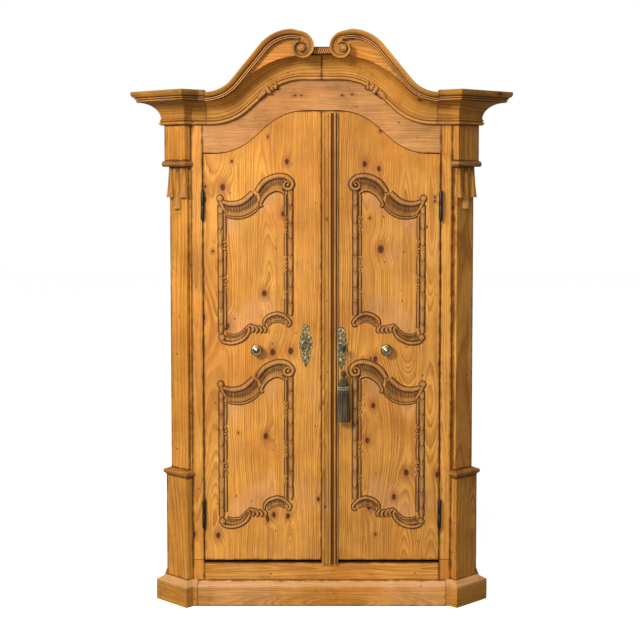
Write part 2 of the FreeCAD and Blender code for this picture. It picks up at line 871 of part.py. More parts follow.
def door_bolts():
    """Two iron bolts on the inside of the left door, into the frieze and the bottom rail."""
    upper_keeper_z = door_crown_z + door_gap + keeper_thickness
    lower_keeper_z = door_bottom_z - door_gap - keeper_thickness - keeper_thickness - keeper_thickness
    upper_end = upper_keeper_z - keeper_thickness
    lower_end = lower_keeper_z + keeper_thickness + keeper_thickness
    write("top_bolt", bolt_rod(upper_end - rod_length, upper_end))
    write("bottom_bolt", bolt_rod(lower_end, lower_end + rod_length))
    cases = [
        rod_case(upper_end - rod_case_inset - rod_case_height),
        rod_case(lower_end + rod_case_inset),
    ]
    write("bolt_cases", group(cases + [lock_keeper()]))
    write("bolt_keepers", group([rod_keeper(upper_keeper_z), rod_keeper(lower_keeper_z)]))


def tassel_y():
    return door_front_y - key_reach + collar_length + cord_radius + cord_clearance


def tassel():
    """Cord looped round the key's shank, with a bound head and a skirt."""
    y = tassel_y()
    turn = key_radius + cord_clearance + cord_radius
    left, right = V(key_x - turn, y, key_z), V(key_x + turn, y, key_z)
    knot_z = key_z - tassel_knot_drop
    spine = Part.Wire([
        Part.makeLine(V(key_x - turn, y, knot_z), left),
        Part.Arc(left, V(key_x, y, key_z + turn), right).toShape(),
        Part.makeLine(right, V(key_x + turn, y, knot_z)),
    ])
    section = Part.Wire(Part.makeCircle(cord_radius, V(key_x - turn, y, knot_z), V(0, 0, 1)))
    cord = spine.makePipeShell([section], True, False)
    write("tassel_cord", cord)
    print("cord loop:", "length", round(spine.Length, 1), "turn radius", turn)
    write("tassel", tassel_body(knot_z))


def tassel_body(knot_z):
    head_z = knot_z - tassel_head_height
    foot_z = head_z - tassel_skirt_height
    depth_share = tassel_skirt_depth / tassel_skirt_radius
    sections = [
        (knot_z, tassel_head_radius * half_share),
        (knot_z - tassel_head_height * half_share, tassel_head_radius),
        (head_z, tassel_skirt_radius * tassel_waist_share),
        (foot_z, tassel_skirt_radius),
    ]
    wires = []
    for z, radius in sections:
        ellipse = Part.Ellipse(V(key_x, tassel_y(), z), radius, radius * depth_share)
        wires.append(Part.Wire(ellipse.toShape()))
    return Part.makeLoft(wires, True, True)


def inside():
    inner_x = side_outer_x - side_thickness
    shelf = box(-inner_x, inner_x, cant_run, back_board_y, shelf_z, shelf_z + board_thickness)
    write("hat_shelf", shelf)
    side = box(-inner_x, -inner_x + cleat_depth, cant_run, back_board_y - cleat_depth,
               shelf_z - cleat_height, shelf_z)
    rear = box(-inner_x, inner_x, back_board_y - cleat_depth, back_board_y,
               shelf_z - cleat_height, shelf_z)
    write("shelf_cleats", group([side, mirrored(side), rear]))
    rail_y = (cant_run + back_board_y) * half_share
    end = inner_x - bracket_thickness
    rail = cylinder(V(-inner_x, rail_y, rail_z), V(1, 0, 0), rail_radius, inner_x + inner_x)
    write("hanging_rail", rail)
    bracket = box(-inner_x, -end, rail_y - bracket_width * half_share, rail_y + bracket_width * half_share,
                  rail_z - bracket_width * half_share, shelf_z - cleat_height)
    bore = cylinder(V(-inner_x, rail_y, rail_z), V(1, 0, 0), rail_radius + bracket_fit, bracket_thickness)
    bracket = bracket.cut(bore)
    write("rail_brackets", group([bracket, mirrored(bracket)]))


os.makedirs("parts", exist_ok=True)
carcass()
plinth()
pilasters()
cornice()
hinges()
doors()
lock()
door_bolts()
tassel()
inside()
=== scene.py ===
"""Looks of the carved pine wardrobe: waxed pine, carving, brass, iron and a silk tassel."""
from math import asin, atan2, cos, dist, exp, hypot, pi, radians, sin, sqrt, tan

import bmesh
import bpy
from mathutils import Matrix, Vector


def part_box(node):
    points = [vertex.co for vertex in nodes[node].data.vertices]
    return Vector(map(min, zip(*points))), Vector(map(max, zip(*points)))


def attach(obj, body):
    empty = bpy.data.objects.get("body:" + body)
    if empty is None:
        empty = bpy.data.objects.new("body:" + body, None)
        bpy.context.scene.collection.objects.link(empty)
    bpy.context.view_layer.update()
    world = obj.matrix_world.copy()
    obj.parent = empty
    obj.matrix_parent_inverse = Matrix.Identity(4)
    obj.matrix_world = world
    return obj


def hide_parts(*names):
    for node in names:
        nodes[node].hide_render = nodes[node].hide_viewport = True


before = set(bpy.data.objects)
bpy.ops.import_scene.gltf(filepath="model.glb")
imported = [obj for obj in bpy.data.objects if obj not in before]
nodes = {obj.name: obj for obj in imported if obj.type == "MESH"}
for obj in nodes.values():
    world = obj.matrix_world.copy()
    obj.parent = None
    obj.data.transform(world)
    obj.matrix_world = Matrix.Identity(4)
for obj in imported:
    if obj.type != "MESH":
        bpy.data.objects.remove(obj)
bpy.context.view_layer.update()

MM = 0.001
# Left and right as seen from the front, with the sign of X there.
HANDS = {"left": -1, "right": 1}


def low(node):
    """Lower corner of a CAD node's box in mm."""
    return Vector(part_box(node)[0]) / MM


def high(node):
    """Upper corner of a CAD node's box in mm."""
    return Vector(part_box(node)[1]) / MM


def middle(node):
    return (low(node) + high(node)) / 2


STILE_Y = low("stile_left").y
DOOR_Y = low("door_leaf_left").y


# Shader tools

class Value:
    """Output of a shader node, for sums that are written like those of numbers."""

    def __init__(self, socket):
        self.socket, self.tree = socket, socket.id_data

    def calc(self, operation, *others):
        return add_node(self.tree, "Math", dict(enumerate((self, *others))), operation=operation)[0]

    def __add__(self, other):
        return self.calc("ADD", other)

    def __sub__(self, other):
        return self.calc("SUBTRACT", other)

    def __rsub__(self, other):
        return add_node(self.tree, "Math", {0: other, 1: self}, operation="SUBTRACT")[0]

    def __mul__(self, other):
        return self.calc("MULTIPLY", other)

    def __truediv__(self, other):
        return self.calc("DIVIDE", other)

    def rise(self, start, end):
        """0 before start and 1 after end, with an eased change between them."""
        return add_node(self.tree, "MapRange", {"Value": self, "From Min": start, "From Max": end},
                        interpolation_type="SMOOTHSTEP")[0]

    def fall(self, start, end):
        """1 before start and 0 after end."""
        return 1.0 - self.rise(start, end)

    def mix(self, first, second):
        """Colour that goes from the first to the second as the value goes from 0 to 1."""
        return add_node(self.tree, "Mix", {0: self, 6: first, 7: second}, data_type="RGBA")[2]

    def noise(self, scale, detail=2.0, roughness=0.5):
        return add_node(self.tree, "TexNoise", {"Vector": self, "Scale": scale, "Detail": detail,
                                                "Roughness": roughness})[0]

    def jitter(self, *settings):
        """Noise to both sides of 0."""
        return self.noise(*settings) - 0.5

    def split(self):
        return add_node(self.tree, "SeparateXYZ", {0: self})

    def stretched(self, *factors):
        return add_node(self.tree, "VectorMath", {0: self, 1: factors}, operation="MULTIPLY")[0]

    def bump(self, strength, distance):
        return add_node(self.tree, "Bump", {"Height": self, "Strength": strength, "Distance": distance})[0]


class Outputs:
    """Outputs of a node as Values, by name or number."""

    def __init__(self, node):
        self.node = node

    def __getitem__(self, key):
        return Value(self.node.outputs[key])


def connect(tree, node, inputs):
    """Set a node's inputs, each given as a constant or as a Value to link."""
    for name, value in inputs.items():
        if isinstance(value, Value):
            tree.links.new(value.socket, node.inputs[name])
        else:
            node.inputs[name].default_value = value


def add_node(tree, kind, inputs=(), **settings):
    made = tree.nodes.new("ShaderNode" + kind)
    for name, value in settings.items():
        setattr(made, name, value)
    connect(tree, made, dict(inputs))
    return Outputs(made)


def new_group(name, inputs, outputs):
    """Empty shader group, the Values that it is given, and the node that takes its results."""
    tree = bpy.data.node_groups.new(name, "ShaderNodeTree")
    for way, labels in (("INPUT", inputs), ("OUTPUT", outputs)):
        for label in labels:
            kind = "Vector" if label in ("Vector", "Centre") else "Float"
            tree.interface.new_socket(label, in_out=way, socket_type="NodeSocket" + kind)
    given, end = Outputs(tree.nodes.new("NodeGroupInput")), tree.nodes.new("NodeGroupOutput")
    return tree, given, end


def new_material(name):
    """New material with its tree and texture coordinates."""
    made = bpy.data.materials.new(name)
    made.use_nodes = True
    return made, made.node_tree, add_node(made.node_tree, "TexCoord")


def set_surface(material, inputs):
    tree = material.node_tree
    connect(tree, tree.nodes["Principled BSDF"], inputs)
    return material


# Shared wood effects. Boards run along Z of the vector that they are given, with X across.
KNOT_OUTPUTS = ("Knot", "Swirl", "Halo")


def pine_grain_group():
    """Growth rings of flat-sawn pine boards laid side by side, with cathedral figure."""
    tree, given, end = new_group("pine_grain", ("Vector", "Board Width", "Ring Width", "Swirl", "Seed"),
                                 ("Late Wood", "Fibre", "Board Tone", "Blotch"))
    vector, width, seed = given["Vector"], given["Board Width"], given["Seed"]
    parts = vector.split()
    shifted = parts[0] + seed * 0.137
    board = (shifted / width).calc("FLOOR")
    local = shifted - (board + 0.5) * width
    draw = add_node(tree, "TexWhiteNoise", {"W": board + seed}, noise_dimensions="1D")["Color"]
    chance = add_node(tree, "SeparateColor", {0: draw})
    offset = chance[2] * 23.0
    slow = add_node(tree, "CombineXYZ", {0: parts[0] * 1.3, 1: offset, 2: parts[2] * 0.42 + offset})[0]
    bow = slow.jitter(2.4, 1.0)
    wander = slow.jitter(9.0, 3.0)
    depth = bow * 0.22 + (chance[1] * 0.045 + 0.012)
    across = (chance[0] - 0.5) * (width * 0.7) + local
    across = wander * 0.020 + across + given["Swirl"]
    radius = (across * across + depth * depth).calc("SQRT")
    fibre = vector.stretched(1.0, 1.0, 0.022).noise(520.0, 3.0, 0.6)
    rings = fibre * 0.35 + radius / given["Ring Width"]
    uneven = (radius * 46.0).noise(1.0) * 3.2
    turn = (rings + uneven).calc("FRACT")
    late = turn.rise(0.22, 0.88) * turn.fall(0.90, 1.0)
    faded = slow.noise(13.0, 3.0, 0.6).rise(0.2, 0.7)
    strength = (radius * 20.0 + 5.0).noise(1.0).rise(0.25, 0.7) * faded
    connect(tree, end, {"Late Wood": late * (strength * 0.60 + 0.40), "Fibre": fibre,
                        "Board Tone": chance[2], "Blotch": vector.noise(3.1, 4.0, 0.6)})
    return tree


def knot_rings(share, size, heart, halo, pushed, push):
    """A knot, its halo and its push on the grain, by the share of its radius from its middle."""
    return {"Knot": share.fall(*heart), "Halo": share.fall(*halo),
            "Swirl": share.fall(*pushed) * (size * push)}


def scattered_knots_group():
    """Small knots here and there on a board's face, with the grain pushed aside round each."""
    tree, given, end = new_group("scattered_knots", ("Vector", "Density", "Size", "Seed"), KNOT_OUTPUTS)
    vector, density = given["Vector"], given["Density"]
    parts = vector.split()
    flat = add_node(tree, "CombineXYZ", {0: parts[0] + given["Seed"] * 3.7, 1: parts[2] * 0.62})[0]
    cell = add_node(tree, "TexVoronoi", {"Vector": flat, "Scale": density}, voronoi_dimensions="2D")
    chance = add_node(tree, "SeparateColor", {0: cell["Color"]})[0]
    ragged = vector.jitter(90.0) * 0.006 + cell["Distance"] / density
    size = (given["Size"] * (chance - 0.18)).calc("MAXIMUM", 0.0004)
    connect(tree, end, knot_rings(ragged / size, size, (0.55, 1.05), (0.9, 2.8), (0.5, 4.5), 1.6))
    return tree


def placed_knot_group():
    """One knot of a chosen size at a chosen place on an upright face."""
    tree, given, end = new_group("placed_knot", ("Vector", "Centre", "Size"), KNOT_OUTPUTS)
    vector, size = given["Vector"], given["Size"]
    away = add_node(tree, "VectorMath", {0: vector, 1: given["Centre"]}, operation="SUBTRACT")[0]
    reach = add_node(tree, "VectorMath", {0: away.stretched(1.0, 0.0, 0.72)}, operation="LENGTH")["Value"]
    ragged = vector.jitter(110.0) * 0.005 + reach
    connect(tree, end, knot_rings(ragged / size, size, (0.55, 1.1), (0.9, 3.2), (0.4, 5.0), 1.5))
    return tree


PINE_GRAIN = pine_grain_group()
SCATTERED_KNOTS = scattered_knots_group()
PLACED_KNOT = placed_knot_group()

# Colours of pine, of its knots, of what age and hands have left on it, and of the painted shade and
# highlights that share the wax and rubbed colours.
EARLY_WOOD = (0.720, 0.325, 0.054, 1.0)
LATE_WOOD = (0.320, 0.088, 0.008, 1.0)
WARM_PATCH = (0.490, 0.165, 0.018, 1.0)
KNOT_HALO = (0.300, 0.085, 0.014, 1.0)
KNOT_HEART = (0.058, 0.014, 0.004, 1.0)
# Dark wax and dirt, also used for painted shade.
GRIME_AND_SHADE = (0.050, 0.014, 0.004, 1.0)
# Rubbed pale pine, also used for painted highlights.
WORN_AND_HIGHLIT_PINE = (0.640, 0.300, 0.125, 1.0)
# Pale top edge of a plinth: dust and wear with a painted highlight.
PALE_EDGE = (0.800, 0.500, 0.250, 1.0)
# Sizes of the marks in metres, as the shaders use them.
RING_WIDTH = 0.0075
WORM_HOLE = 0.0042
JOINT_GAP = 0.003
SEAM_WIDTH = 0.0075
LIT_WORN_BAND = 0.022
LIT_WORN_EDGE = 0.006
WOOD_BUMP = 0.0009

# Which coordinate is put on each axis of the grain, by the way that the boards run.
GRAIN_AXES = {"up": {0: 0, 1: 1, 2: 2}, "across": {0: 2, 1: 1, 2: 0}, "side_up": {0: 1, 1: 0, 2: 2},
              "deep": {0: 0, 1: 2, 2: 1}, "uv": {0: 1, 2: 0}}


def pine(name, grain, board_width, ring_width=RING_WIDTH, seed=0.0, tone=1.0, knot_density=4.0,
         knot_size=0.012, placed_knots=(), worn_places=(), grime=0.35, worn=0.0, effects=()):
    """Waxed pine. The tone makes a piece paler or deeper, and worn makes it drier, than its neighbours."""
    made, tree, coords = new_material(name)
    source = coords["Object"]
    parts = coords["UV" if grain == "uv" else "Object"].split()
    vector = add_node(tree, "CombineXYZ", {put: parts[axis] for put, axis in GRAIN_AXES[grain].items()})[0]

    def group(kind, **inputs):
        given = {label.replace("_", " ").title(): value for label, value in inputs.items()}
        return add_node(tree, "Group", {"Vector": vector, **given}, node_tree=kind)

    knots = group(SCATTERED_KNOTS, density=knot_density, size=knot_size, seed=seed)
    knot, swirl, halo = knots["Knot"], knots["Swirl"], knots["Halo"]
    for centre, size in placed_knots:
        more = group(PLACED_KNOT, centre=centre, size=size)
        knot, halo = knot.calc("MAXIMUM", more["Knot"]), halo.calc("MAXIMUM", more["Halo"])
        swirl += more["Swirl"]
    figure = group(PINE_GRAIN, board_width=board_width, ring_width=ring_width, swirl=swirl, seed=seed)
    late, fibre, blotch = figure["Late Wood"], figure["Fibre"], figure["Blotch"]
    colour = (late * 0.95).mix(EARLY_WOOD, LATE_WOOD)
    colour = (blotch.rise(0.38, 0.70) * 0.62).mix(colour, WARM_PATCH)
    rubbed = blotch.fall(0.24 + worn, 0.46 + worn)
    for centre, size in worn_places:
        spot = group(PLACED_KNOT, centre=centre, size=size)["Halo"]
        rubbed = rubbed.calc("MAXIMUM", spot * 0.95)
    colour = (rubbed * 0.45).mix(colour, WORN_AND_HIGHLIT_PINE)
    shade = (fibre - 0.5) * 1.05 + (figure["Board Tone"] * 0.16 + (0.92 * tone - 0.08))
    shade = source.jitter(5.5, 5.0, 0.62) * 0.85 + shade
    grey = add_node(tree, "CombineColor", {0: shade, 1: shade, 2: shade})[0]
    colour = add_node(tree, "Mix", {0: 1.0, 6: colour, 7: grey}, data_type="RGBA", blend_type="MULTIPLY")[2]
    colour = (halo * 0.55).mix(colour, KNOT_HALO)
    colour = (knot * 0.93).mix(colour, KNOT_HEART)
    dirt = source.noise(14.0, 6.0, 0.68).rise(0.57, 0.74)
    colour = (dirt * grime).mix(colour, GRIME_AND_SHADE)
    holes = group(SCATTERED_KNOTS, density=13.0, size=WORM_HOLE, seed=seed + 2.0)["Knot"]
    colour = (holes * 0.85).mix(colour, KNOT_HEART)
    for effect, *where in effects:
        colour = effect(colour, source, *where)
    height = knot * -0.8 + (late * 0.6 + fibre)
    return set_surface(made, {"Base Color": colour, "Specular IOR Level": 0.17,
                              "Roughness": dirt * 0.12 + (fibre * 0.16 + 0.40),
                              "Normal": height.bump(0.28, WOOD_BUMP)})


# Effects on a board's colour, each by object coordinates in metres.

def worn_and_lit_top(colour, source, board):
    """Pale band of dust and wear, with a painted highlight, along the top edge of a plinth board."""
    level = board[1].z - LIT_WORN_BAND
    ragged = source.jitter(26.0, 5.0) * 0.016 + source.split()[2]
    return (ragged.rise(level - LIT_WORN_EDGE, level + LIT_WORN_EDGE) * 0.36).mix(colour, PALE_EDGE)


def foot_joint(colour, source, level):
    """Redder block let in below a level, with a dark joint above it."""
    height = source.split()[2]
    colour = (height.calc("LESS_THAN", level) * 0.4).mix(colour, WARM_PATCH)
    gap = (height - level).calc("ABSOLUTE").calc("LESS_THAN", JOINT_GAP / 2)
    return (gap * 0.8).mix(colour, GRIME_AND_SHADE)


def edge_wax_and_shade(colour, source, board):
    """Dark wax and painted shade in the joints along the edges of a board, across the two greater spans of
    its box.
    """
    parts = source.split()
    start, end = board
    wide, deep, tall = (end[axis] - start[axis] for axis in range(3))
    across = (0, 1) if tall < min(wide, deep) else (0, 2) if deep < 1.1 * wide else (1, 2)
    first, *gaps = [gap for axis in across for gap in (parts[axis] - start[axis], end[axis] - parts[axis])]
    for gap in gaps:
        first = first.calc("MINIMUM", gap)
    ragged = source.jitter(34.0, 4.0) * 0.012 + first
    return (ragged.fall(0.0, SEAM_WIDTH) * 0.8).mix(colour, GRIME_AND_SHADE)


def relief_of(tree):
    """How far a carved or cast surface stands out, from 0 in its hollows to 1 on its high parts, set lower in
    places to paint shade and above 1 in places to paint highlights.
    """
    return add_node(tree, "Attribute", attribute_name="relief")["Fac"]


def carved_patina_and_shading(colour, source):
    """Dark wax and painted shade in the hollows of a carving and under its projecting parts, and rubbed edges
    with painted highlights on its high parts.
    """
    broken = source.jitter(60.0, 4.0) * 0.3 + relief_of(source.tree)
    colour = (broken.fall(0.05, 0.62) * 0.86).mix(colour, GRIME_AND_SHADE)
    return (broken.rise(0.78, 1.08) * 0.42).mix(colour, WORN_AND_HIGHLIT_PINE)


# Effects of a carved piece: wax and wear, with shade and highlights painted from its relief.
CARVED = (carved_patina_and_shading,)


def metal(name, bright, dull, roughness, patch_scale):
    """Old metal whose bright rubbed parts break up a duller skin."""
    made, tree, coords = new_material(name)
    cloudy = coords["Object"].noise(patch_scale, 5.0, 0.65)
    rubbed = cloudy.rise(0.42, 0.66) * relief_of(tree).rise(0.15, 0.8)
    return set_surface(made, {"Base Color": rubbed.mix(dull, bright), "Metallic": 1.0,
                              "Roughness": cloudy * 0.3 + (roughness - 0.15),
                              "Normal": coords["Object"].noise(patch_scale * 6.0, 4.0).bump(0.25, 0.0006)})


def silk(name, thread, shadow, twist_scale):
    """Matt silk thread with fine upright strands."""
    made, _, coords = new_material(name)
    fine = coords["Object"].stretched(1.0, 1.0, 0.03).noise(twist_scale, 3.0, 0.6)
    return set_surface(made, {"Base Color": fine.rise(0.35, 0.65).mix(shadow, thread), "Roughness": 0.75,
                              "Specular IOR Level": 0.2, "Normal": fine.bump(0.6, 0.001)})


# Camera, light and floor

CAMERA_DISTANCE = 5.5
CAMERA_HEIGHT = 1.6834
CAMERA_PITCH = radians(3.5)
SENSOR_WIDTH = 36.0
FOCAL_PIXELS = 1410.0
FRAME_PIXELS = 640.0
AXIS_X_PIXEL = 321.7
AXIS_Y_PIXEL = 264.24
WHITE = (1.0, 1.0, 1.0, 1.0)
# Strength of the surroundings as light, and what is added to it where the camera sees them.
AMBIENT = 0.22
SEEN_WHITE = 0.78
FLOOR_HALF = 20.0
FLOOR_GREY = (0.60, 0.60, 0.60, 1.0)
FLOOR_GLOW = 0.85
FLOOR_ROUGHNESS = 0.8
# Lights: place, what they look at, width in metres and watts.
LIGHTS = {
    "key_light": ((-2.9, -4.3, 3.7), (0.0, 0.0, 1.1), 1.5, 315.0),
    "front_light": ((-0.5, -5.2, 0.7), (0.0, 0.0, 0.7), 2.6, 70.0),
    "top_light": ((0.2, -2.2, 4.7), (0.0, 0.0, 1.1), 1.8, 30.0),
}


def add_object(name, data):
    made = bpy.data.objects.new(name, data)
    bpy.context.scene.collection.objects.link(made)
    return made


def add_camera():
    data = bpy.data.cameras.new("photo_view")
    data.sensor_width = SENSOR_WIDTH
    data.lens = data.sensor_width * FOCAL_PIXELS / FRAME_PIXELS
    data.shift_x = -(AXIS_X_PIXEL - FRAME_PIXELS / 2) / FRAME_PIXELS
    data.shift_y = (AXIS_Y_PIXEL - FRAME_PIXELS / 2) / FRAME_PIXELS
    camera = add_object("photo_view", data)
    camera.location = (0.0, STILE_Y * MM - CAMERA_DISTANCE, CAMERA_HEIGHT)
    camera.rotation_euler = (pi / 2 - CAMERA_PITCH, 0.0, 0.0)
    bpy.context.scene.camera = camera


def add_studio():
    world = bpy.data.worlds.new("studio")
    world.use_nodes = True
    tree = world.node_tree
    seen = add_node(tree, "LightPath")["Is Camera Ray"]
    connect(tree, tree.nodes["Background"], {"Color": WHITE, "Strength": seen * SEEN_WHITE + AMBIENT})
    bpy.context.scene.world = world
    for name, (place, target, width, power) in LIGHTS.items():
        data = bpy.data.lights.new(name, "AREA")
        data.energy = power
        data.shape = "DISK"
        data.size = width
        light = add_object(name, data)
        light.location = place
        light.rotation_euler = (Vector(target) - Vector(place)).to_track_quat("-Z", "Y").to_euler()
    bm = bmesh.new()
    bmesh.ops.create_grid(bm, x_segments=2, y_segments=2, size=FLOOR_HALF)
    mesh = bpy.data.meshes.new("floor")
    bm.to_mesh(mesh)
    bm.free()
    mesh.materials.append(set_surface(new_material("pale_floor")[0], {
        "Base Color": FLOOR_GREY, "Emission Color": WHITE, "Emission Strength": FLOOR_GLOW,
        "Roughness": FLOOR_ROUGHNESS}))
    floor = add_object("floor", mesh)
    floor.visible_diffuse = False
    floor.visible_glossy = False
    bpy.context.scene.view_settings.view_transform = "Standard"


# Boards and doors keep their solids, with softened edges and pine along the right way.
WELD_DISTANCE = 0.01 * MM
BOARD_EDGE = 1.2 * MM
IRON_EDGE = 0.5 * MM
BEVEL_ANGLE = radians(32)
BEVEL_SEGMENTS = 2
DOOR_BOARD = 0.154
DOOR_GRIME = 0.15
DOOR_SEEDS = {"left": 71.0, "right": 76.0}
# Boards whose edges are joints that hold old wax and painted shade, and boards whose top edge is pale with
# wear and a painted highlight.
SEAMED_BOARDS = ("stile", "corner_board", "side_panel", "pedestal", "pilaster_shaft", "capital",
                 "bottom_rail", "plinth_front", "frieze_board", "back_boards", "pediment_board")
PALE_BOARDS = ("plinth_block", "plinth_front")
# Growth rings that are wider than the usual ones, in metres.
WIDE_RINGS = {"pedestal": 0.012, "pilaster_shaft": 0.015, "capital": 0.012}
# Way of the grain, width of a board in metres, tone, and dryness.
PAIRED_BOARDS = {
    "stile": ("up", 0.09, 1.10, -0.1), "corner_board": ("up", 0.12, 0.80, 0.0),
    "side_panel": ("side_up", 0.19, 0.92, 0.0), "pedestal": ("up", 0.14, 0.96, -0.1),
    "pilaster_shaft": ("up", 0.14, 0.98, -0.2), "capital": ("up", 0.14, 0.87, -0.2),
    "plinth_block": ("across", 0.13, 0.80, 0.0),
}
SINGLE_BOARDS = {
    "bottom_rail": ("across", 0.2, 0.95, 0.0), "plinth_front": ("across", 0.13, 0.97, 0.14),
    "plinth_sides": ("deep", 0.13, 0.86, 0.0), "frieze_board": ("across", 0.22, 0.79, 0.34),
    "back_boards": ("up", 0.2, 0.86, 0.0), "floor_boards": ("deep", 0.18, 0.9, 0.0),
    "top_boards": ("across", 0.2, 0.82, 0.0), "hat_shelf": ("across", 0.2, 0.98, 0.0),
    "shelf_cleats": ("across", 0.1, 0.92, 0.0), "hanging_rail": ("across", 0.1, 0.9, 0.0),
    "rail_brackets": ("up", 0.1, 0.9, 0.0), "pediment_board": ("across", 0.3, 0.97, 0.08),
}
# Knots seen on the doors and peg holes in the frieze: across and up in mm, then radius.
DOOR_KNOTS = {
    "left": [(-385, 1648, 12), (-224, 1233, 11), (-192, 1002, 13), (-121, 1006, 12), (-374, 1104, 15),
             (-220, 670, 11), (-188, 356, 10), (-133, 352, 10), (-409, 274, 10), (-456, 1601, 9),
             (-425, 1398, 6), (-452, 1650, 5), (-135, 1748, 10), (-349, 1748, 5), (-150, 1543, 9),
             (-209, 1843, 5)],
    "right": [(167, 1738, 11), (222, 1719, 9), (230, 1406, 14), (202, 791, 10), (179, 654, 10),
              (333, 525, 12), (187, 388, 10), (455, 517, 10), (163, 955, 10), (210, 975, 10),
              (440, 1609, 5), (440, 1593, 5), (228, 1865, 5)],
}
FRIEZE_PEGS = [(-104, 2003, 5), (-79, 2003, 4), (79, 2003, 4.5), (118, 2007, 4.5), (227, 2000, 4.5)]
# Worn places beside each carved frame: mm inward from its outer side, mm up from its foot, radius.
WORN_PLACES = [(80, 70, 20), (128, 117, 20), (189, 150, 18), (60, 470, 14), (196, 565, 16)]
FRAME_HEIGHT = 669.0


def dress(node, material, edge=BOARD_EDGE):
    piece = nodes[node]
    piece.data.materials.clear()
    piece.data.materials.append(material)
    piece.modifiers.new("weld", "WELD").merge_threshold = WELD_DISTANCE
    bevel = piece.modifiers.new("soft_edges", "BEVEL")
    bevel.width = edge
    bevel.segments = BEVEL_SEGMENTS
    bevel.limit_method = "ANGLE"
    bevel.angle_limit = BEVEL_ANGLE
    bevel.use_clamp_overlap = True


def dress_board(name, node, seed, look, pegs=()):
    grain, width, tone, worn = look
    effects = []
    # Pale top edge: dust and wear with a painted highlight.
    if name in PALE_BOARDS:
        effects.append((worn_and_lit_top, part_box(node)))
    if name == "stile":
        effects.append((foot_joint, low("door_leaf_left").z * MM))
    # Dark wax and painted shade along the board's joints.
    if name in SEAMED_BOARDS:
        effects.append((edge_wax_and_shade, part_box(node)))
    dress(node, pine(node + "_pine", grain, width, WIDE_RINGS.get(name, RING_WIDTH), seed, tone,
                     placed_knots=pegs, worn=worn, effects=effects))


def upright(marks):
    """Middle and radius in metres of marks given as mm across the grain, mm along it, and radius."""
    return [((across * MM, 0.0, along * MM), size * MM) for across, along, size in marks]


def dress_carcass():
    for step, (name, look) in enumerate(PAIRED_BOARDS.items()):
        for place, side in enumerate(HANDS):
            dress_board(name, name + "_" + side, 3.0 * step + 1.7 * place, look)
    pegs = upright([(z, x, size) for x, z, size in FRIEZE_PEGS])
    for step, (name, look) in enumerate(SINGLE_BOARDS.items()):
        dress_board(name, name, 41.0 + 2.3 * step, look, pegs if name == "frieze_board" else ())


def worn_places(side):
    """Rubbed places in both frames of a door, in metres."""
    node = "carved_frames_" + side
    outer, turn = (low(node).x, 1) if side == "left" else (high(node).x, -1)
    feet = (low(node).z, high(node).z - FRAME_HEIGHT)
    return upright([(outer + turn * inward, foot + up, size)
                    for foot in feet for inward, up, size in WORN_PLACES])


def dress_doors():
    for side in HANDS:
        node = "door_leaf_" + side
        # Dark wax and painted shade along the edges of each door.
        dress(node, pine("door_" + side + "_pine", "up", DOOR_BOARD, seed=DOOR_SEEDS[side],
                         placed_knots=upright(DOOR_KNOTS[side]), worn_places=worn_places(side),
                         grime=DOOR_GRIME, effects=[(edge_wax_and_shade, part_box(node))]))


# Shape tools. A shape starts as a grid whose corners are moved onto a rule of their place in it, in mm.
SLIVER = 0.001 * MM
# Degrees between faces from which an edge is drawn sharp.
CARVING_ANGLE = 38.0
MOULDING_ANGLE = 24.0
STRIP_ANGLE = 30.0
PLATE_ANGLE = 50.0
SILK_ANGLE = 60.0


def new_shape():
    """Empty mesh under construction, with its relief attribute and UV map ready."""
    bm = bmesh.new()
    bm.verts.layers.float.new("relief")
    bm.loops.layers.uv.new("grain")
    return bm


def surface(bm, s_count, t_count, place):
    """Grid of points laid on place(i, j), which gives a point, its relief and the grain's u and v, if any."""
    made = bmesh.ops.create_grid(bm, x_segments=s_count - 1, y_segments=t_count - 1, size=1.0)["verts"]
    relief = bm.verts.layers.float["relief"]
    grain = bm.loops.layers.uv["grain"]
    where = {}
    for vert in made:
        i = round((vert.co.x + 1.0) / 2 * (s_count - 1))
        j = round((vert.co.y + 1.0) / 2 * (t_count - 1))
        point, vert[relief], *along = place(i, j)
        vert.co = Vector(point) * MM
        where[vert] = Vector(along or (0.0, 0.0)) * MM
    for face in {face for vert in made for face in vert.link_faces}:
        for loop in face.loops:
            loop[grain].uv = where[loop.vert]


def close(bm):
    """Merge seams and poles and fill what is left open."""
    bmesh.ops.remove_doubles(bm, verts=bm.verts, dist=WELD_DISTANCE)
    bmesh.ops.dissolve_degenerate(bm, edges=bm.edges, dist=SLIVER)
    rims = [edge for edge in bm.edges if edge.is_boundary]
    bmesh.ops.holes_fill(bm, edges=rims, sides=0)
    bmesh.ops.recalc_face_normals(bm, faces=bm.faces)


def add_piece(name, bm, material, body, replaced, sharp_angle=CARVING_ANGLE):
    """Finish a mesh as a named piece that rides on a body in place of CAD nodes."""
    close(bm)
    for face in bm.faces:
        face.smooth = True
    for edge in bm.edges:
        edge.smooth = not edge.is_manifold or edge.calc_face_angle() < radians(sharp_angle)
    mesh = bpy.data.meshes.new(name)
    bm.to_mesh(mesh)
    bm.free()
    mesh.materials.append(material)
    piece = add_object(name, mesh)
    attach(piece, body)
    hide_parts(*replaced)


def on_line(points, share):
    """Point at a share of the way along a smooth line through the given points."""
    last = len(points) - 1
    at = min(max(share, 0.0), 1.0) * last
    i = min(int(at), last - 1)
    f = at - i
    around = [points[min(max(k, 0), last)] for k in (i - 1, i, i + 1, i + 2)]
    return [
        (2 * b + (c - a) * f + (2 * a - 5 * b + 4 * c - d) * f ** 2 + (3 * b - a - 3 * c + d) * f ** 3) / 2
        for a, b, c, d in zip(*around)
    ]


def between(values, share):
    """Value at a share of the way through a list, straight from one entry to the next."""
    at = min(max(share, 0.0), 1.0) * (len(values) - 1)
    i = min(int(at), len(values) - 2)
    return values[i] + (values[i + 1] - values[i]) * (at - i)


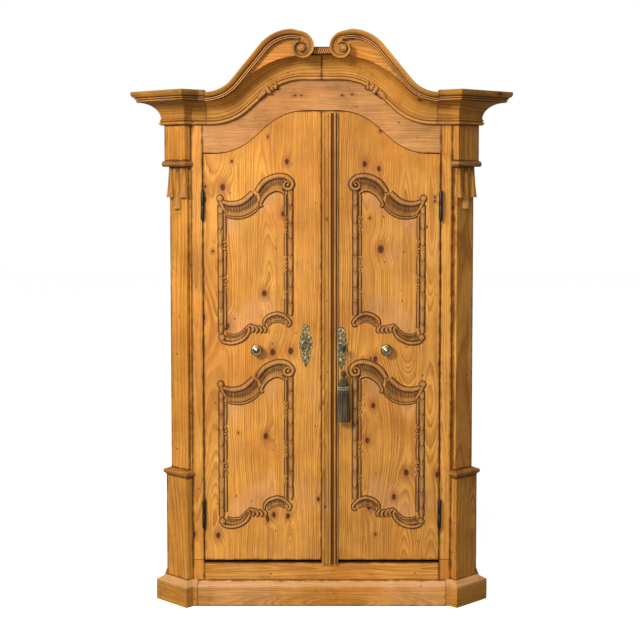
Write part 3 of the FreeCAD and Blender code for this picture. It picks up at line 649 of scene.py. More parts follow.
# Carved frames. Points are mm from the outer upper corner of a frame: inward, then down.
# A section gives offset as a share of the half width, height share and relief. The groove cut
# round a bead is added outside it.
BEAD_SECTION = [
    (-1.0, 0.05, 0.0), (-0.95, 0.40, 0.40), (-0.75, 0.74, 0.80), (-0.40, 0.94, 0.95), (0.0, 1.0, 1.0),
    (0.40, 0.94, 0.95), (0.75, 0.74, 0.80), (0.95, 0.40, 0.40), (1.0, 0.05, 0.0),
]
GROOVE_ROWS = 2
GROOVE_WIDTH = 3.4
GROOVE_HEIGHT = 0.6
# Shares of a dome's radius, from its foot up to its top.
DOME_REACHES = (1.18, 1.0, 0.94, 0.80, 0.55, 0.28, 0.0)
DOME_FACETS = 19
CARVING_SINK = 0.3
FLUTE_PLACE = (0.28, 0.30)
LIP_PLACE = (0.84, 0.42)
HUSK_LAP = 8.0
HUSK_WIDTH = 19.0
HUSK_HEIGHT = 7.0
HUSK_TAPER = [1.0] * 8 + [0.96, 0.84, 0.4]
HUSK_SWELL = (0.0, 0.1, 0.45, 0.7, 0.85, 1.0, 1.0)
# Share of a husk's relief along it: low at its start, where it passes under the tip above, to paint shade
# there.
HUSK_LIT_SHARE = (0.0, 0.0, 0.2, 0.45, 0.85, 1.0, 1.0, 1.0, 1.0, 1.0)
REED_HEIGHT = 5.0
SIDE_STEPS = 24
BUTTONS = 4
BUTTON_SHIFT = 3.0
BUTTON = (5.8, 7.0)
END_BUTTON = (5.4, 6.5)
STRIP_INSETS = {"left": 0.0, "right": 9.0}
# Beads of a frame: line, widths along it, height, and steps where they are not the usual ones.
FRAME_BEADS = [
    ([(17, 109), (35, 117), (63, 119), (94, 111), (118, 93), (137, 74)], [12, 17, 19, 20, 20, 18], 8.5),
    ([(150, 74), (161, 55), (180, 33), (206, 18), (237, 10), (266, 14), (285, 29), (291, 43), (285, 57),
      (272, 62), (259, 55), (258, 42), (266, 32), (276, 35), (278, 44)],
     [16, 19, 19, 18, 16, 14, 11, 8, 5], 9.5, 90),
    ([(8, 106), (14, 122), (23, 139), (36, 157)], [17, 14, 10, 6], 7.5, 18),
    ([(30, 158), (42, 169), (78, 174), (112, 167), (140, 151), (162, 129)], [3, 6, 7, 7, 7, 4], 5.0),
    ([(175, 121), (169, 128), (166, 119), (178, 96), (192, 81), (211, 69), (231, 64), (249, 70), (259, 80)],
     [5, 10, 12, 12, 12, 11, 6], 7.0, 44),
    ([(9, 652), (25, 661), (51, 664), (80, 657), (104, 642), (118, 621), (120, 607), (112, 602), (109, 609)],
     [8, 12, 14, 14, 13, 11, 8, 5], 7.5, 44),
    ([(30, 624), (51, 632), (78, 630), (98, 616), (107, 604)], [3, 5, 6, 5, 3], 4.5),
    ([(112, 604), (122, 594), (133, 600), (135, 613), (127, 620)], [4, 9, 13, 12, 5], 7.0, 20),
    ([(134, 594), (146, 601), (151, 614), (144, 623)], [4, 9, 13, 12, 5], 7.0, 20),
    ([(152, 597), (163, 603), (168, 615), (161, 623)], [4, 9, 13, 12, 5], 7.0, 20),
    ([(170, 594), (179, 602), (184, 614), (177, 622)], [4, 9, 13, 12, 5], 7.0, 20),
    ([(178, 594), (181, 574), (199, 557), (230, 548), (256, 556), (271, 569), (281, 582), (275, 595),
      (266, 588)], [6, 11, 13, 13, 12, 12, 10, 5], 7.5, 50),
    ([(191, 599), (204, 586), (230, 577), (251, 582), (259, 590)], [3, 5, 5, 5, 3], 4.5),
]
# Sunk strips: upper and lower line, height, flutes and their slant, and steps along and across.
FRAME_HOLLOWS = [
    ([(24, 120), (35, 126), (73, 128), (106, 117), (130, 99), (150, 80)],
     [(26, 153), (40, 166), (78, 171), (111, 164), (139, 149), (161, 129)], 8.0, 17, 0.8, 72, 12),
    ([(158, 82), (168, 66), (187, 42), (211, 27), (237, 19), (256, 24)],
     [(173, 118), (180, 102), (192, 87), (211, 73), (230, 68), (249, 74)], 8.0, 14, -0.8, 72, 12),
    ([(32, 626), (51, 634), (78, 632), (99, 618), (108, 606)],
     [(24, 650), (49, 656), (78, 650), (98, 635), (110, 617)], 5.0, 9, 0.5, 48, 8),
    ([(187, 583), (201, 567), (230, 558), (254, 566), (262, 577)],
     [(192, 597), (204, 583), (230, 574), (251, 579), (259, 587)], 5.0, 7, 0.4, 40, 8),
]
# Round ends of the scrolls: middle, radius and height.
FRAME_DOMES = [((272, 45), 6.0, 9.0), ((8, 97), 13.0, 9.0), ((13, 641), 13.0, 8.5)]
# Strips down the sides of a frame: place and ends of the husks; place, widths and ends of the reeds;
# place, starts and spacing of the rows of buttons.
OUTER_STRIP = ((10, [130, 157, 219, 281, 343, 405, 466, 528, 590, 628]),
               (27, [7, 9, 9, 7], [(168, 259), (316, 399), (456, 606)]), (26, (268, 408), 13))
INNER_STRIP = ((282, [66, 126, 195, 255, 321, 383, 445, 507, 557]),
               (263, [7, 8, 8, 7], [(80, 167), (230, 322), (385, 457), (487, 552)]), (262, (176, 331), 15))
INNER_END_BUTTONS = [(263, 466), (263, 478)]


def frame_placing(top_z, hand):
    """Rule from a frame's own mm and a height above the door to a point of the left or right door."""
    outer = high("carved_frames_right").x

    def put(inward, down, height):
        return (hand * (outer - inward), DOOR_Y + CARVING_SINK - height, top_z - down)

    return put


def ribbon(bm, put, line, widths, height, count=36, swell=(1.0, 1.0), relief_share=(1.0, 1.0)):
    """Half-round carved bead along a line. Width, swell of its height and share of its relief change along
    it; a low share paints shade.
    """
    step = 1.0 / (count - 1)
    rows = len(BEAD_SECTION) + 2 * GROOVE_ROWS

    def place(i, j):
        share = i * step
        here = on_line(line, share)
        before, after = on_line(line, share - step / 2), on_line(line, share + step / 2)
        lean = atan2(after[1] - before[1], after[0] - before[0])
        half = between(widths, share) / 2
        if GROOVE_ROWS <= j < rows - GROOVE_ROWS:
            offset, rise, relief = BEAD_SECTION[j - GROOVE_ROWS]
            offset, tall = offset * half, CARVING_SINK + rise * height * between(swell, share)
        else:
            side = -1 if j < GROOVE_ROWS else 1
            offset, tall, relief = side * (half + GROOVE_WIDTH), GROOVE_HEIGHT, 0.0
        if i in (0, count - 1) or j in (0, rows - 1):
            tall = 0.0
        point = put(here[0] - sin(lean) * offset, here[1] + cos(lean) * offset, tall)
        return point, relief * between(relief_share, share) if tall else 0.0

    surface(bm, count, rows, place)


def dome(bm, put, centre, radius, height):
    last = len(DOME_REACHES) - 1

    def place(i, j):
        turn = 2 * pi * i / DOME_FACETS
        reach = radius * DOME_REACHES[j]
        tall = 0.0 if j == 0 else height * sqrt(max(0.0, 1 - (1 - j / last) ** 2.4))
        point = put(centre[0] + reach * cos(turn), centre[1] + reach * sin(turn), tall)
        return point, min(1.0, max(0.0, j - 1) / 3)

    surface(bm, DOME_FACETS + 1, len(DOME_REACHES), place)


def hollow_band(bm, put, upper, lower, height, flutes, slant, count, rows):
    """Sunk strip between two lines, fluted along its upper half and with a lip at its lower edge."""
    def place(i, j):
        share, down = i / (count - 1), j / (rows - 1)
        a, b = on_line(upper, share), on_line(lower, share)
        wave = abs(sin(pi * (flutes * share + slant * down)))
        fluted, lip = (max(0.0, 1 - abs(down - at) / spread) for at, spread in (FLUTE_PLACE, LIP_PLACE))
        rise = 0.18 + 0.42 * fluted * wave + 0.55 * lip ** 1.4
        edge = i in (0, count - 1) or j in (0, rows - 1)
        relief = 0.0 if edge else min(1.0, 0.12 + 0.45 * fluted * wave ** 2 + 0.75 * lip)
        point = put(a[0] + (b[0] - a[0]) * down, a[1] + (b[1] - a[1]) * down, 0.0 if edge else height * rise)
        return point, relief

    surface(bm, count, rows, place)


def side_strip(bm, put, husks, reeds, buttons):
    """Overlapping husks that thicken to rounded tips, with reeds and rows of buttons beside them."""
    inward, ends = husks
    for top, tip in zip(ends, ends[1:]):
        line = [(inward, down) for down in (top - HUSK_LAP, top, (top + tip) / 2, tip)]
        ribbon(bm, put, line, [HUSK_WIDTH * share for share in HUSK_TAPER], HUSK_HEIGHT, SIDE_STEPS,
               HUSK_SWELL, HUSK_LIT_SHARE)
    inward, widths, spans = reeds
    for top, tip in spans:
        ribbon(bm, put, [(inward, top), (inward, tip)], widths, REED_HEIGHT, SIDE_STEPS)
    inward, starts, spacing = buttons
    for start in starts:
        for step in range(BUTTONS):
            dome(bm, put, (inward + BUTTON_SHIFT * (step % 2), start + spacing * step), *BUTTON)


def carve_frame(bm, put, inset):
    """One carved frame: scrolled head, rocaille foot, and side strips, the inner one inset."""
    for carve, shapes in ((ribbon, FRAME_BEADS), (hollow_band, FRAME_HOLLOWS), (dome, FRAME_DOMES)):
        for shape in shapes:
            carve(bm, put, *shape)
    side_strip(bm, put, *OUTER_STRIP)
    side_strip(bm, put, *[(inward - inset, *more) for inward, *more in INNER_STRIP])
    for inward, down in INNER_END_BUTTONS:
        dome(bm, put, (inward - inset, down), *END_BUTTON)


def add_carved_frames(materials):
    for side, hand in HANDS.items():
        node = "carved_frames_" + side
        bm = new_shape()
        for top_z in (high(node).z, low("carved_frames_left").z + FRAME_HEIGHT):
            carve_frame(bm, frame_placing(top_z, hand), STRIP_INSETS[side])
        add_piece("carving_" + side, bm, materials[side], "door_" + side, [node])


# Cornice, pediment and pilaster mouldings, in mm as the carcass is laid out.
CORNICE_END_X = -high("cornice_cove_left").x - low("cornice_cove_left").x
CORNICE_FOOT = low("cornice_cove_left").z
COVE_RISE = 173.0
COVE_TOP = 89.0
FASCIA_HEIGHT = 42.0
COVE_SHOULDER = 20.0
COVE_CROWN = 70.0
COVE_TIGHTNESS = 0.96
SWAN_FOOT = low("swan_neck_left").z
SWAN_RISE = 239.0
SWAN_TOP_X = 112.0
SWAN_HEIGHT = 33.0
SWAN_BENDS = (170.0, 130.0)
EYE_X = 79.0
EYE_DROP = 38.0
EYE = (-EYE_X, SWAN_FOOT + SWAN_RISE - EYE_DROP)
SEAM = 0.5
# Profiles give projection, rise and relief, from the wall round the front and back to the wall.
COVE_FOOT = [
    (0, 0, 0.1), (9, 0, 0.1), (10, 2, 0.3), (14, 4, 0.8), (15, 8, 1.0), (13.5, 12, 0.7),
    (10, 14, 0.05), (10, 15.5, 0.05), (12.5, 17, 0.7), (13, 20, 0.9), (11, 22.5, 0.5), (9, 24, 0.3),
]
COVE_DEPTH = 67.0
ARC_STEPS = 16
ARC_TURNS = [pi / 2 * step / ARC_STEPS for step in range(1, ARC_STEPS + 1)]
# The relief falls step by step up the cove, which paints shade darker towards its top under the fascia.
COVE_ARC = [
    (COVE_FOOT[-1][0] + COVE_DEPTH * (1 - cos(turn)),
     COVE_FOOT[-1][1] + (COVE_TOP - COVE_FOOT[-1][1]) * sin(turn), 0.66 - 0.012 * step)
    for step, turn in enumerate(ARC_TURNS, 1)
]
# The recessed bands with relief 0 paint dark lines of shade under each fillet of the fascia.
FASCIA = [(out, COVE_TOP + rise, relief) for out, rise, relief in (
    (75.5, 0.5, 0.0), (75.5, 3, 0.0), (79, 3.5, 0.8), (79, 8, 1.0), (77, 8.5, 0.0), (77, 11.5, 0.0),
    (83, 12, 0.8), (83, 15.5, 1.0), (82, 16, 0.0), (82, 18.5, 0.0), (88, 20.5, 0.5), (91.5, 25, 0.7),
    (93.5, 30, 0.8), (94, 34, 0.85), (94, 40, 0.85), (92, FASCIA_HEIGHT, 0.75))]
COVE_PROFILE = COVE_FOOT + COVE_ARC + [(0, COVE_TOP, 0.4), (0, 0, 0.1)]
RUN_PROFILE = COVE_FOOT + COVE_ARC + FASCIA + [(0, COVE_TOP + FASCIA_HEIGHT, 0.6), (0, 0, 0.1)]
# Projection, share of the way from the inner to the outer edge, and relief.
# Relief above 1 paints pale highlights along the two fillets, and relief 0 beside them paints dark lines of
# shade.
SWAN_PROFILE = [
    (0, 0, 0.3), (74, 0, 0.0), (76.5, 0.01, 0.9), (77, 0.06, 1.2), (76.5, 0.11, 0.9), (73, 0.12, 0.0),
    (73, 0.21, 0.0), (79.5, 0.22, 0.9), (80, 0.27, 1.2), (79.5, 0.33, 0.9), (75.5, 0.34, 0.0),
    (75.5, 0.43, 0.0), (84, 0.45, 0.5), (88, 0.56, 0.62), (91.5, 0.70, 0.66), (93.5, 0.84, 0.72),
    (94, 0.93, 0.9), (92.5, 1.0, 0.8), (0, 1.0, 0.6), (0, 0, 0.3),
]
# Radius of the volute's outer edge and width of its band, as it winds in.
VOLUTE = [(63, 27), (57, 26.5), (52.5, 25.5), (49.5, 24.5), (46, 23), (42, 21), (38, 19), (34.5, 17),
          (31.5, 15), (29, 13.5), (27, 12.5), (25, 11.5), (23.5, 10), (22, 8)]
VOLUTE_TURN = radians(400)
VOLUTE_STEPS = 60
# Steps of each bend of the cove and of the neck.
COVE_BEND_STEPS = 28
NECK_BEND_STEPS = 24
# Sunk face of the volute, by share of its radius and projection.
WEB = [(0.0, 76), (0.5, 76), (0.97, 76), (0.97, 4), (0.0, 4)]
WEB_STEPS = 54
# Plain wood behind the volute, by shares of its radius, and the ringed button at its eye, by radius.
# Projection and relief follow.
CHEEK = [(0.0, 55, 0.6), (1.0, 55, 0.6), (1.0, 4, 0.6), (0.0, 4, 0.6)]
CHEEK_FACETS = 48
CHEEK_RADIUS = 34.0
SPUR_REACH = 15.0
SPUR_TURN = radians(165)
SPUR_SPREAD = radians(80)
BOSS = [(15, 60, 0.2), (15, 95, 0.4), (13.5, 98, 0.9), (10.5, 98.6, 0.8), (9.5, 97, 0.05), (8.5, 98.4, 0.7),
        (4, 99, 0.9), (0, 99, 1.0)]
BOSS_FACETS = 32


def rising_line(x0, z0, r0, x1, z1, r1, count):
    """Stations of position and lean on an arc, a straight and a reversed arc, level at both ends."""
    across, up = x1 - x0, z1 - z0 - r0 - r1
    lean = atan2(up, across) + asin((r0 + r1) / hypot(across, up))
    turns = [lean * step / count for step in range(count + 1)]
    first = [(x0 + r0 * sin(turn), z0 + r0 * (1 - cos(turn)), turn) for turn in turns]
    second = [(x1 - r1 * sin(turn), z1 - r1 * (1 - cos(turn)), turn) for turn in turns[::-1]]
    return first + second


def cove_stations():
    across, up = CORNICE_END_X - COVE_SHOULDER - COVE_CROWN, COVE_RISE
    bend = COVE_TIGHTNESS * (across ** 2 + up ** 2) / (4 * up)
    low_z, high_z = CORNICE_FOOT, CORNICE_FOOT + COVE_RISE
    curve = rising_line(-CORNICE_END_X + COVE_SHOULDER, low_z, bend, -COVE_CROWN, high_z, bend,
                        COVE_BEND_STEPS)
    crown = [(-COVE_CROWN / 2, high_z, 0.0), (-SEAM, high_z, 0.0)]
    return [(-CORNICE_END_X, low_z, 0.0)] + curve + crown


def lengths_along(points):
    """Length of a line of points from its start to each of them."""
    lengths = [0.0]
    for before, after in zip(points, points[1:]):
        lengths.append(lengths[-1] + dist(before, after))
    return lengths


def moulding(bm, rails, profile, hand, tallness):
    """Profile carried along two rails of (inner, outer, depth share) points, then turned by hand."""
    lengths = lengths_along([rail[0] for rail in rails])
    girth = lengths_along([(out, rise * tallness) for out, rise, relief in profile])

    def place(i, j):
        inner, outer, depth = rails[i]
        out, rise, relief = profile[j]
        x = inner[0] + (outer[0] - inner[0]) * rise
        z = inner[1] + (outer[1] - inner[1]) * rise
        return (-hand * x, STILE_Y - out * depth, z), relief, lengths[i], girth[j]

    surface(bm, len(rails), len(profile), place)


def rails_along(stations, height):
    return [((x, z), (x - sin(lean) * height, z + cos(lean) * height), 1.0)
            for x, z, lean in stations]


def by_eye(reach, turn):
    """Point at a reach and turn about the eye of the left volute."""
    return EYE[0] + reach * cos(turn), EYE[1] + reach * sin(turn)


def scroll_rails():
    """Rails of the volute: the outer edge winds in about the eye while the band grows thin."""
    rails = []
    for step in range(VOLUTE_STEPS):
        share = step / (VOLUTE_STEPS - 1)
        turn = pi / 2 - VOLUTE_TURN * share
        outer, band = on_line(VOLUTE, share)
        rails.append((by_eye(outer - band, turn), by_eye(outer, turn), 1.0 + 0.02 * share))
    return rails


def add_web(bm, rails, hand):
    """Sunk face of the volute between the turns of its band."""
    def place(i, j):
        outer = rails[i % WEB_STEPS][1]
        share, out = WEB[j]
        x, z = (EYE[axis] + (outer[axis] - EYE[axis]) * share for axis in (0, 1))
        return (-hand * x, STILE_Y - out, z), 0.5, share * 30, i * 4.0

    surface(bm, WEB_STEPS + 1, len(WEB), place)


def add_disc(bm, section, facets, reach_at, grain_step, hand):
    """Rings about the eye of (radius, projection, relief), each made wider or narrower as it turns."""
    def place(i, j):
        turn = 2 * pi * i / facets
        radius, out, relief = section[j]
        reach = radius * reach_at(turn)
        x, z = by_eye(reach, turn)
        return (-hand * x, STILE_Y - out, z), relief, reach, i * grain_step

    surface(bm, facets + 1, len(section), place)


def cheek_reach(turn):
    """Radius of the wood behind the volute, which has a spur where the pediment board ends."""
    spur = max(0.0, 1 - abs(turn - SPUR_TURN) / SPUR_SPREAD)
    return CHEEK_RADIUS + SPUR_REACH * min(1.0, 1.6 * spur)


def add_cornice(materials):
    neck_line = rising_line(-CORNICE_END_X, SWAN_FOOT, SWAN_BENDS[0],
                            -SWAN_TOP_X, SWAN_FOOT + SWAN_RISE, SWAN_BENDS[1], NECK_BEND_STEPS)
    spiral = scroll_rails()
    for side, hand in HANDS.items():
        bm = new_shape()
        moulding(bm, rails_along(cove_stations(), 1.0), COVE_PROFILE, hand, 1.0)
        add_piece("cove_" + side, bm, materials["cove_" + side], "carcass",
                  ["cornice_cove_" + side])
        bm = new_shape()
        moulding(bm, rails_along(neck_line, SWAN_HEIGHT) + spiral, SWAN_PROFILE, hand, SWAN_HEIGHT)
        add_web(bm, spiral, hand)
        add_disc(bm, CHEEK, CHEEK_FACETS, cheek_reach, 4.0, hand)
        add_disc(bm, BOSS, BOSS_FACETS, lambda turn: 1.0, 1.0, hand)
        add_piece("scrolled_neck_" + side, bm, materials["neck_" + side], "carcass",
                  ["swan_neck_" + side])


# Mouldings round the canted corners, as rings of plan points stacked up their profiles.
DIAGONAL = sqrt(2.0)
RETURN_DEPTH = 31.0
CANT_RUN = 89.0
STILE_OUTER_X = high("stile_right").x
SIDE_OUTER_X = STILE_OUTER_X + CANT_RUN
CORNER = (STILE_OUTER_X + CANT_RUN / 2, CANT_RUN / 2)
BACK_Y = high("back_boards").y - STILE_Y
HALF_CANT = CANT_RUN * DIAGONAL / 2


def corner_plan(projection):
    """Plan of the cornice round the right canted corner at a projection."""
    tip_x = STILE_OUTER_X + RETURN_DEPTH / DIAGONAL
    tip_y = -(RETURN_DEPTH / DIAGONAL + projection * DIAGONAL)
    front = [(CORNICE_END_X, 0), (CORNICE_END_X, -projection),
             (tip_x + tip_y + projection, -projection), (tip_x, tip_y)]
    side = [(CORNER[0] - (y - CORNER[1]), CORNER[1] - (x - CORNER[0])) for x, y in front]
    return front + side[::-1] + [(SIDE_OUTER_X, CANT_RUN), (STILE_OUTER_X, 0)]


def on_cant(across, deep):
    """Plan point from mm along and behind the face line of the right canted corner."""
    return CORNER[0] + (across - deep) / DIAGONAL, CORNER[1] + (across + deep) / DIAGONAL


def pilaster_plan(side_projection, face_projection):
    """Plan of a moulding round a pilaster, turned onto the right canted corner."""
    half, face = HALF_CANT + side_projection, RETURN_DEPTH + face_projection
    plan = [(-half, 0), (-half, -face), (half, -face), (half, 0)]
    return [on_cant(across, deep) for across, deep in plan]


def stacked_rings(bm, rings, hand):
    """Closed rings of plan points, each with its height and relief, joined one above the other."""
    def place(i, j):
        plan, z, relief = rings[j]
        x, y = plan[i % len(plan)]
        return (hand * x, y + STILE_Y, z), relief

    surface(bm, len(rings[0][0]) + 1, len(rings), place)


def add_corner_mouldings(materials):
    profile = COVE_FOOT[1:] + COVE_ARC + FASCIA
    rings = [(corner_plan(out), CORNICE_FOOT + rise, relief) for out, rise, relief in profile]
    ends = (CORNER[1] - (CORNICE_END_X - CORNER[0]), BACK_Y)
    runs = new_shape()
    for side, hand in HANDS.items():
        bm = new_shape()
        stacked_rings(bm, rings, hand)
        add_piece("corner_moulding_" + side, bm, materials["corner_" + side], "carcass",
                  ["cornice_corner_" + side], MOULDING_ANGLE)

        def place(i, j, hand=hand):
            out, rise, relief = RUN_PROFILE[j]
            point = (hand * (SIDE_OUTER_X + out), STILE_Y + ends[i], CORNICE_FOOT + rise)
            return point, relief, ends[i], out + rise

        surface(runs, len(ends), len(RUN_PROFILE), place)
    add_piece("side_moulding", runs, materials["sides"], "carcass", ["cornice_sides"],
              MOULDING_ANGLE)


# Mouldings round a pilaster: projection at its sides and at its face, rise and relief.
CAP_PROFILE = [
    (0, 0, 0, 0.0), (2, 2, 2, 0.3), (2.5, 2.5, 4, 0.5), (5.5, 5.5, 6, 0.6), (8.2, 8.2, 9, 0.7),
    (8.2, 8.2, 10, 0.05), (9, 9, 11, 0.7), (9, 9, 19, 0.9), (8, 8, 20.5, 0.9), (-3, -6, 26, 0.6),
    (-12, -16, 30, 0.05),
]
NECK_PROFILE = [(out, out, rise, relief) for out, rise, relief in (
    (0, 0, 0.0), (3.5, 0.4, 0.0), (6, 2.5, 0.35), (7.6, 6, 0.7), (8, 10, 0.9), (7.8, 14, 0.95),
    (6.8, 18, 0.9), (4.4, 21.5, 0.6), (1.5, 23.4, 0.2), (0, 24, 0.0))]
# Section of a bell: radius, share of its height and relief.
DROP_SECTION = [
    (0, 1.0, 0.0), (10, 1.0, 0.0), (10.2, 0.96, 0.2), (10.9, 0.85, 0.55), (12.6, 0.62, 0.75),
    (15, 0.36, 0.8), (18, 0.14, 0.85), (20.4, 0.03, 0.9), (21, 0.0, 0.8),
    # Low relief under and inside the mouth paints shade there.
    (18, 0.0, 0.1), (15, 0.05, 0.0), (0, 0.05, 0.0),
]
DROP_FACETS = 18
DROP_SINK = 0.3
DROP_SPACING = 40.0
DROPS = ((-1, 119.0), (0, 163.0), (1, 119.0))
SHAFT_FACE = RETURN_DEPTH - 16.0


def drop(bm, place_x, length, foot_z, hand):
    """Half-round bell that hangs on the pilaster's face, flared and hollow at its mouth."""
    def place(i, j):
        turn = pi * i / DROP_FACETS
        radius, up, relief = DROP_SECTION[j]
        reach = radius * (1 - 0.05 * cos(4 * turn) ** 2 * min(1.0, radius / 10))
        x, y = on_cant(place_x + reach * cos(turn), DROP_SINK - SHAFT_FACE - reach * sin(turn))
        # Relief falls towards the sides of the bell, which paints shade between the bells.
        return (hand * x, y + STILE_Y, foot_z + length * up), relief * (0.5 + 0.5 * sin(turn) ** 0.5)

    surface(bm, DROP_FACETS + 1, len(DROP_SECTION), place)


def add_pilaster_mouldings(materials):
    cap_z, neck_z = low("pedestal_caps").z, low("capital_necks").z
    caps, necks, drops = new_shape(), new_shape(), new_shape()
    for hand in HANDS.values():
        for bm, profile, foot in ((caps, CAP_PROFILE, cap_z), (necks, NECK_PROFILE, neck_z)):
            stacked_rings(bm, [(pilaster_plan(s, f), foot + z, r) for s, f, z, r in profile], hand)
        for step, length in DROPS:
            drop(drops, step * DROP_SPACING, length, neck_z - length, hand)
    add_piece("pedestal_mouldings", caps, materials["caps"], "carcass", ["pedestal_caps"],
              MOULDING_ANGLE)
    add_piece("necking_mouldings", necks, materials["necks"], "carcass", ["capital_necks"],
              MOULDING_ANGLE)
    add_piece("bell_drops", drops, materials["drops"], "carcass", ["pilaster_drops"])


# Carved husks on the cove and the crest between the scrolls. The span is where a husk lies on the cove.
HUSK_SPAN = (-300, -120)
HUSK_FACE = 8.0
# Beads of a husk: their line as mm across and mm up from the cornice bead, widths, height, steps.
HUSK_BEADS = [
    ([(-243, 6), (-232, 9), (-220, 10), (-212, 8)], [5, 20, 25, 16], 11.0, 18),
    ([(-238, 16), (-226, 18), (-215, 17)], [4, 10, 7], 11.0, 14),
    ([(-203, -8), (-204, 6), (-203, 21)], [10, 17, 17, 10], 14.0, 18),
    ([(-192, -4), (-190, 8), (-191, 20)], [8, 13, 12, 7], 11.0, 16),
    ([(-183, -5), (-176, 2), (-172, 12), (-170, 22)], [14, 13, 12, 6], 12.0, 18),
]
CREST_LEAVES = range(-4, 5)
CREST_SPACING = 8.0
# Widths, height and steps of the crest's strip and of a leaf on it, and a button's radius and height.
CREST_STRIP = ([26, 27, 26], 9.0, 24)
CREST_LEAF = ([4, 9, 10, 4], 16.0, 12)
CREST_BUTTON = (4.0, 18.0)


def add_husks(material):
    """Knotted leaf on each shoulder of the cornice bead."""
    line = [(x, z) for x, z, _ in cove_stations() if HUSK_SPAN[0] < x < HUSK_SPAN[1]]
    bm = new_shape()
    for hand in HANDS.values():
        def put(x, up, height, hand=hand):
            near = min(range(1, len(line) - 1), key=lambda k: abs(line[k][0] - x))
            (x0, z0), (x1, z1) = line[near - 1], line[near + 1]
            rise = atan2(z1 - z0, x1 - x0)
            z = line[near][1] + tan(rise) * (x - line[near][0])
            return -hand * (x - sin(rise) * up), STILE_Y - HUSK_FACE - height, z + cos(rise) * up

        for bead in HUSK_BEADS:
            ribbon(bm, put, *bead)
    add_piece("cornice_leaves", bm, material, "carcass", ["cornice_husks"])


def add_crest(material):
    """Row of slanting leaves over a low strip, between the two scrolls."""
    (_, _, foot), (end, back, top) = low("pediment_crest"), high("pediment_crest")
    half_way = (foot + top) / 2
    bm = new_shape()

    def put(x, z, height):
        return x, back - height, z

    ribbon(bm, put, [(-end, half_way), (0, half_way), (end, half_way)], *CREST_STRIP)
    for step in CREST_LEAVES:
        x = step * CREST_SPACING
        ribbon(bm, put, [(x - 4, foot + 5), (x - 1, half_way), (x + 4, top - 5)], *CREST_LEAF)
        dome(bm, put, (x + 3.5, foot + 11), *CREST_BUTTON)
    add_piece("crest_leaves", bm, material, "carcass", ["pediment_crest"])


# Meeting strip, brass and iron. The strip's profile gives mm across, projection and relief.
STRIP_PROFILE = [
    (0, 0, 0.2), (0, 7, 0.5), (1, 8, 0.8), (10, 8, 0.7), (10.8, 7.2, 0.0), (12.4, 7.2, 0.0), (13.2, 8, 0.7),
    (24.5, 8, 0.6), (26, 7.4, 0.0), (27, 10.5, 0.6), (29, 11.8, 0.9), (31, 12, 1.0), (34, 11, 0.8),
    (36, 8.5, 0.3), (36.6, 4, 0.0), (46.4, 4, 0.0), (47, 8.2, 0.2), (48.5, 10.8, 0.7), (50.5, 11.6, 0.95),
    (53, 11.2, 0.8), (54.6, 8.6, 0.2), (55, 5, 0.0), (59, 5, 0.0), (59.6, 7.4, 0.4), (61.5, 8, 0.7),
    (63, 7, 0.6), (63, 0, 0.2), (0, 0, 0.2),
]
STRIP_DEPTH = 12.0


def add_meeting_strip(material):
    edge, foot, top = low("astragal").x, low("astragal").z, high("astragal").z
    # Height, share of the projection and share of the relief, with a dark line under the cap.
    rows = [(foot, 0.9, 1.0), (foot + 2, 1.0, 1.0), (top - 16, 1.0, 1.0), (top - 14, 1.06, 0.4),
            (top - 11, 1.06, 1.0), (top - 2, 1.0, 1.0), (top, 0.9, 1.0)]
    bm = new_shape()

    def place(i, j):
        across, out, relief = STRIP_PROFILE[j]
        z, proud, relief_share = rows[i]
        return (edge + across, DOOR_Y - min(out * proud, STRIP_DEPTH), z), relief * relief_share, z, across

    surface(bm, len(rows), len(STRIP_PROFILE), place)
    add_piece("meeting_strip", bm, material, "door_right", ["astragal"], STRIP_ANGLE)


# Section of a knob: radius, height above the door and relief.
KNOB_PROFILE = [
    (0, 0, 0.2), (19, 0, 0.2), (19, 1.2, 0.5), (18, 2.6, 0.9), (15.5, 3, 0.8), (14.5, 2.4, 0.1),
    (12.5, 3, 0.6), (10, 4, 0.4), (8.6, 7, 0.5), (8.4, 13, 0.5), (10, 16, 0.5), (15, 17.6, 0.6),
    (20, 19.4, 0.8), (22.4, 22.5, 1.0), (23, 26, 1.0), (22, 29.6, 1.0), (19.5, 32, 0.9), (17, 32.6, 0.5),
    (16, 31, 0.0), (14.6, 31, 0.0), (13.6, 33, 0.6), (12, 34.8, 1.0), (10, 35.4, 0.9), (9.2, 34.4, 0.1),
    (8, 35.4, 0.6), (5, 37.8, 1.0), (2.4, 38.8, 1.0), (0, 39, 1.0),
]
KNOB_STEPS = 48


def add_knobs(material):
    """Ringed knobs, turned about an axis that points out of the door."""
    for side in HANDS:
        node = "knob_" + side
        centre = Vector((middle(node).x, DOOR_Y, middle(node).z))
        bm = new_shape()
        relief = bm.verts.layers.float["relief"]
        verts = []
        for radius, out, height in KNOB_PROFILE:
            vert = bm.verts.new((centre + Vector((radius, -out, 0.0))) * MM)
            vert[relief] = height
            verts.append(vert)
        edges = [bm.edges.new(pair) for pair in zip(verts, verts[1:])]
        bmesh.ops.spin(bm, geom=verts + edges, cent=centre * MM, axis=(0, -1, 0), dvec=(0, 0, 0),
                       angle=2 * pi, steps=KNOB_STEPS, use_merge=True)
        add_piece("ringed_knob_" + side, bm, material, "door_" + side, [node])


# Outline of an escutcheon: share of the way down and half width in mm.
PLATE_HALF_WIDTHS = [
    (0.00, 4), (0.03, 13), (0.08, 17.5), (0.13, 12.5), (0.19, 19.5), (0.235, 16), (0.30, 23.5),
    (0.345, 21.5), (0.40, 27), (0.47, 24.5), (0.545, 27), (0.60, 19), (0.645, 22), (0.69, 18.5),
    (0.735, 21.5), (0.80, 15.5), (0.855, 14.5), (0.90, 8.5), (0.95, 5), (1.00, 1),
]
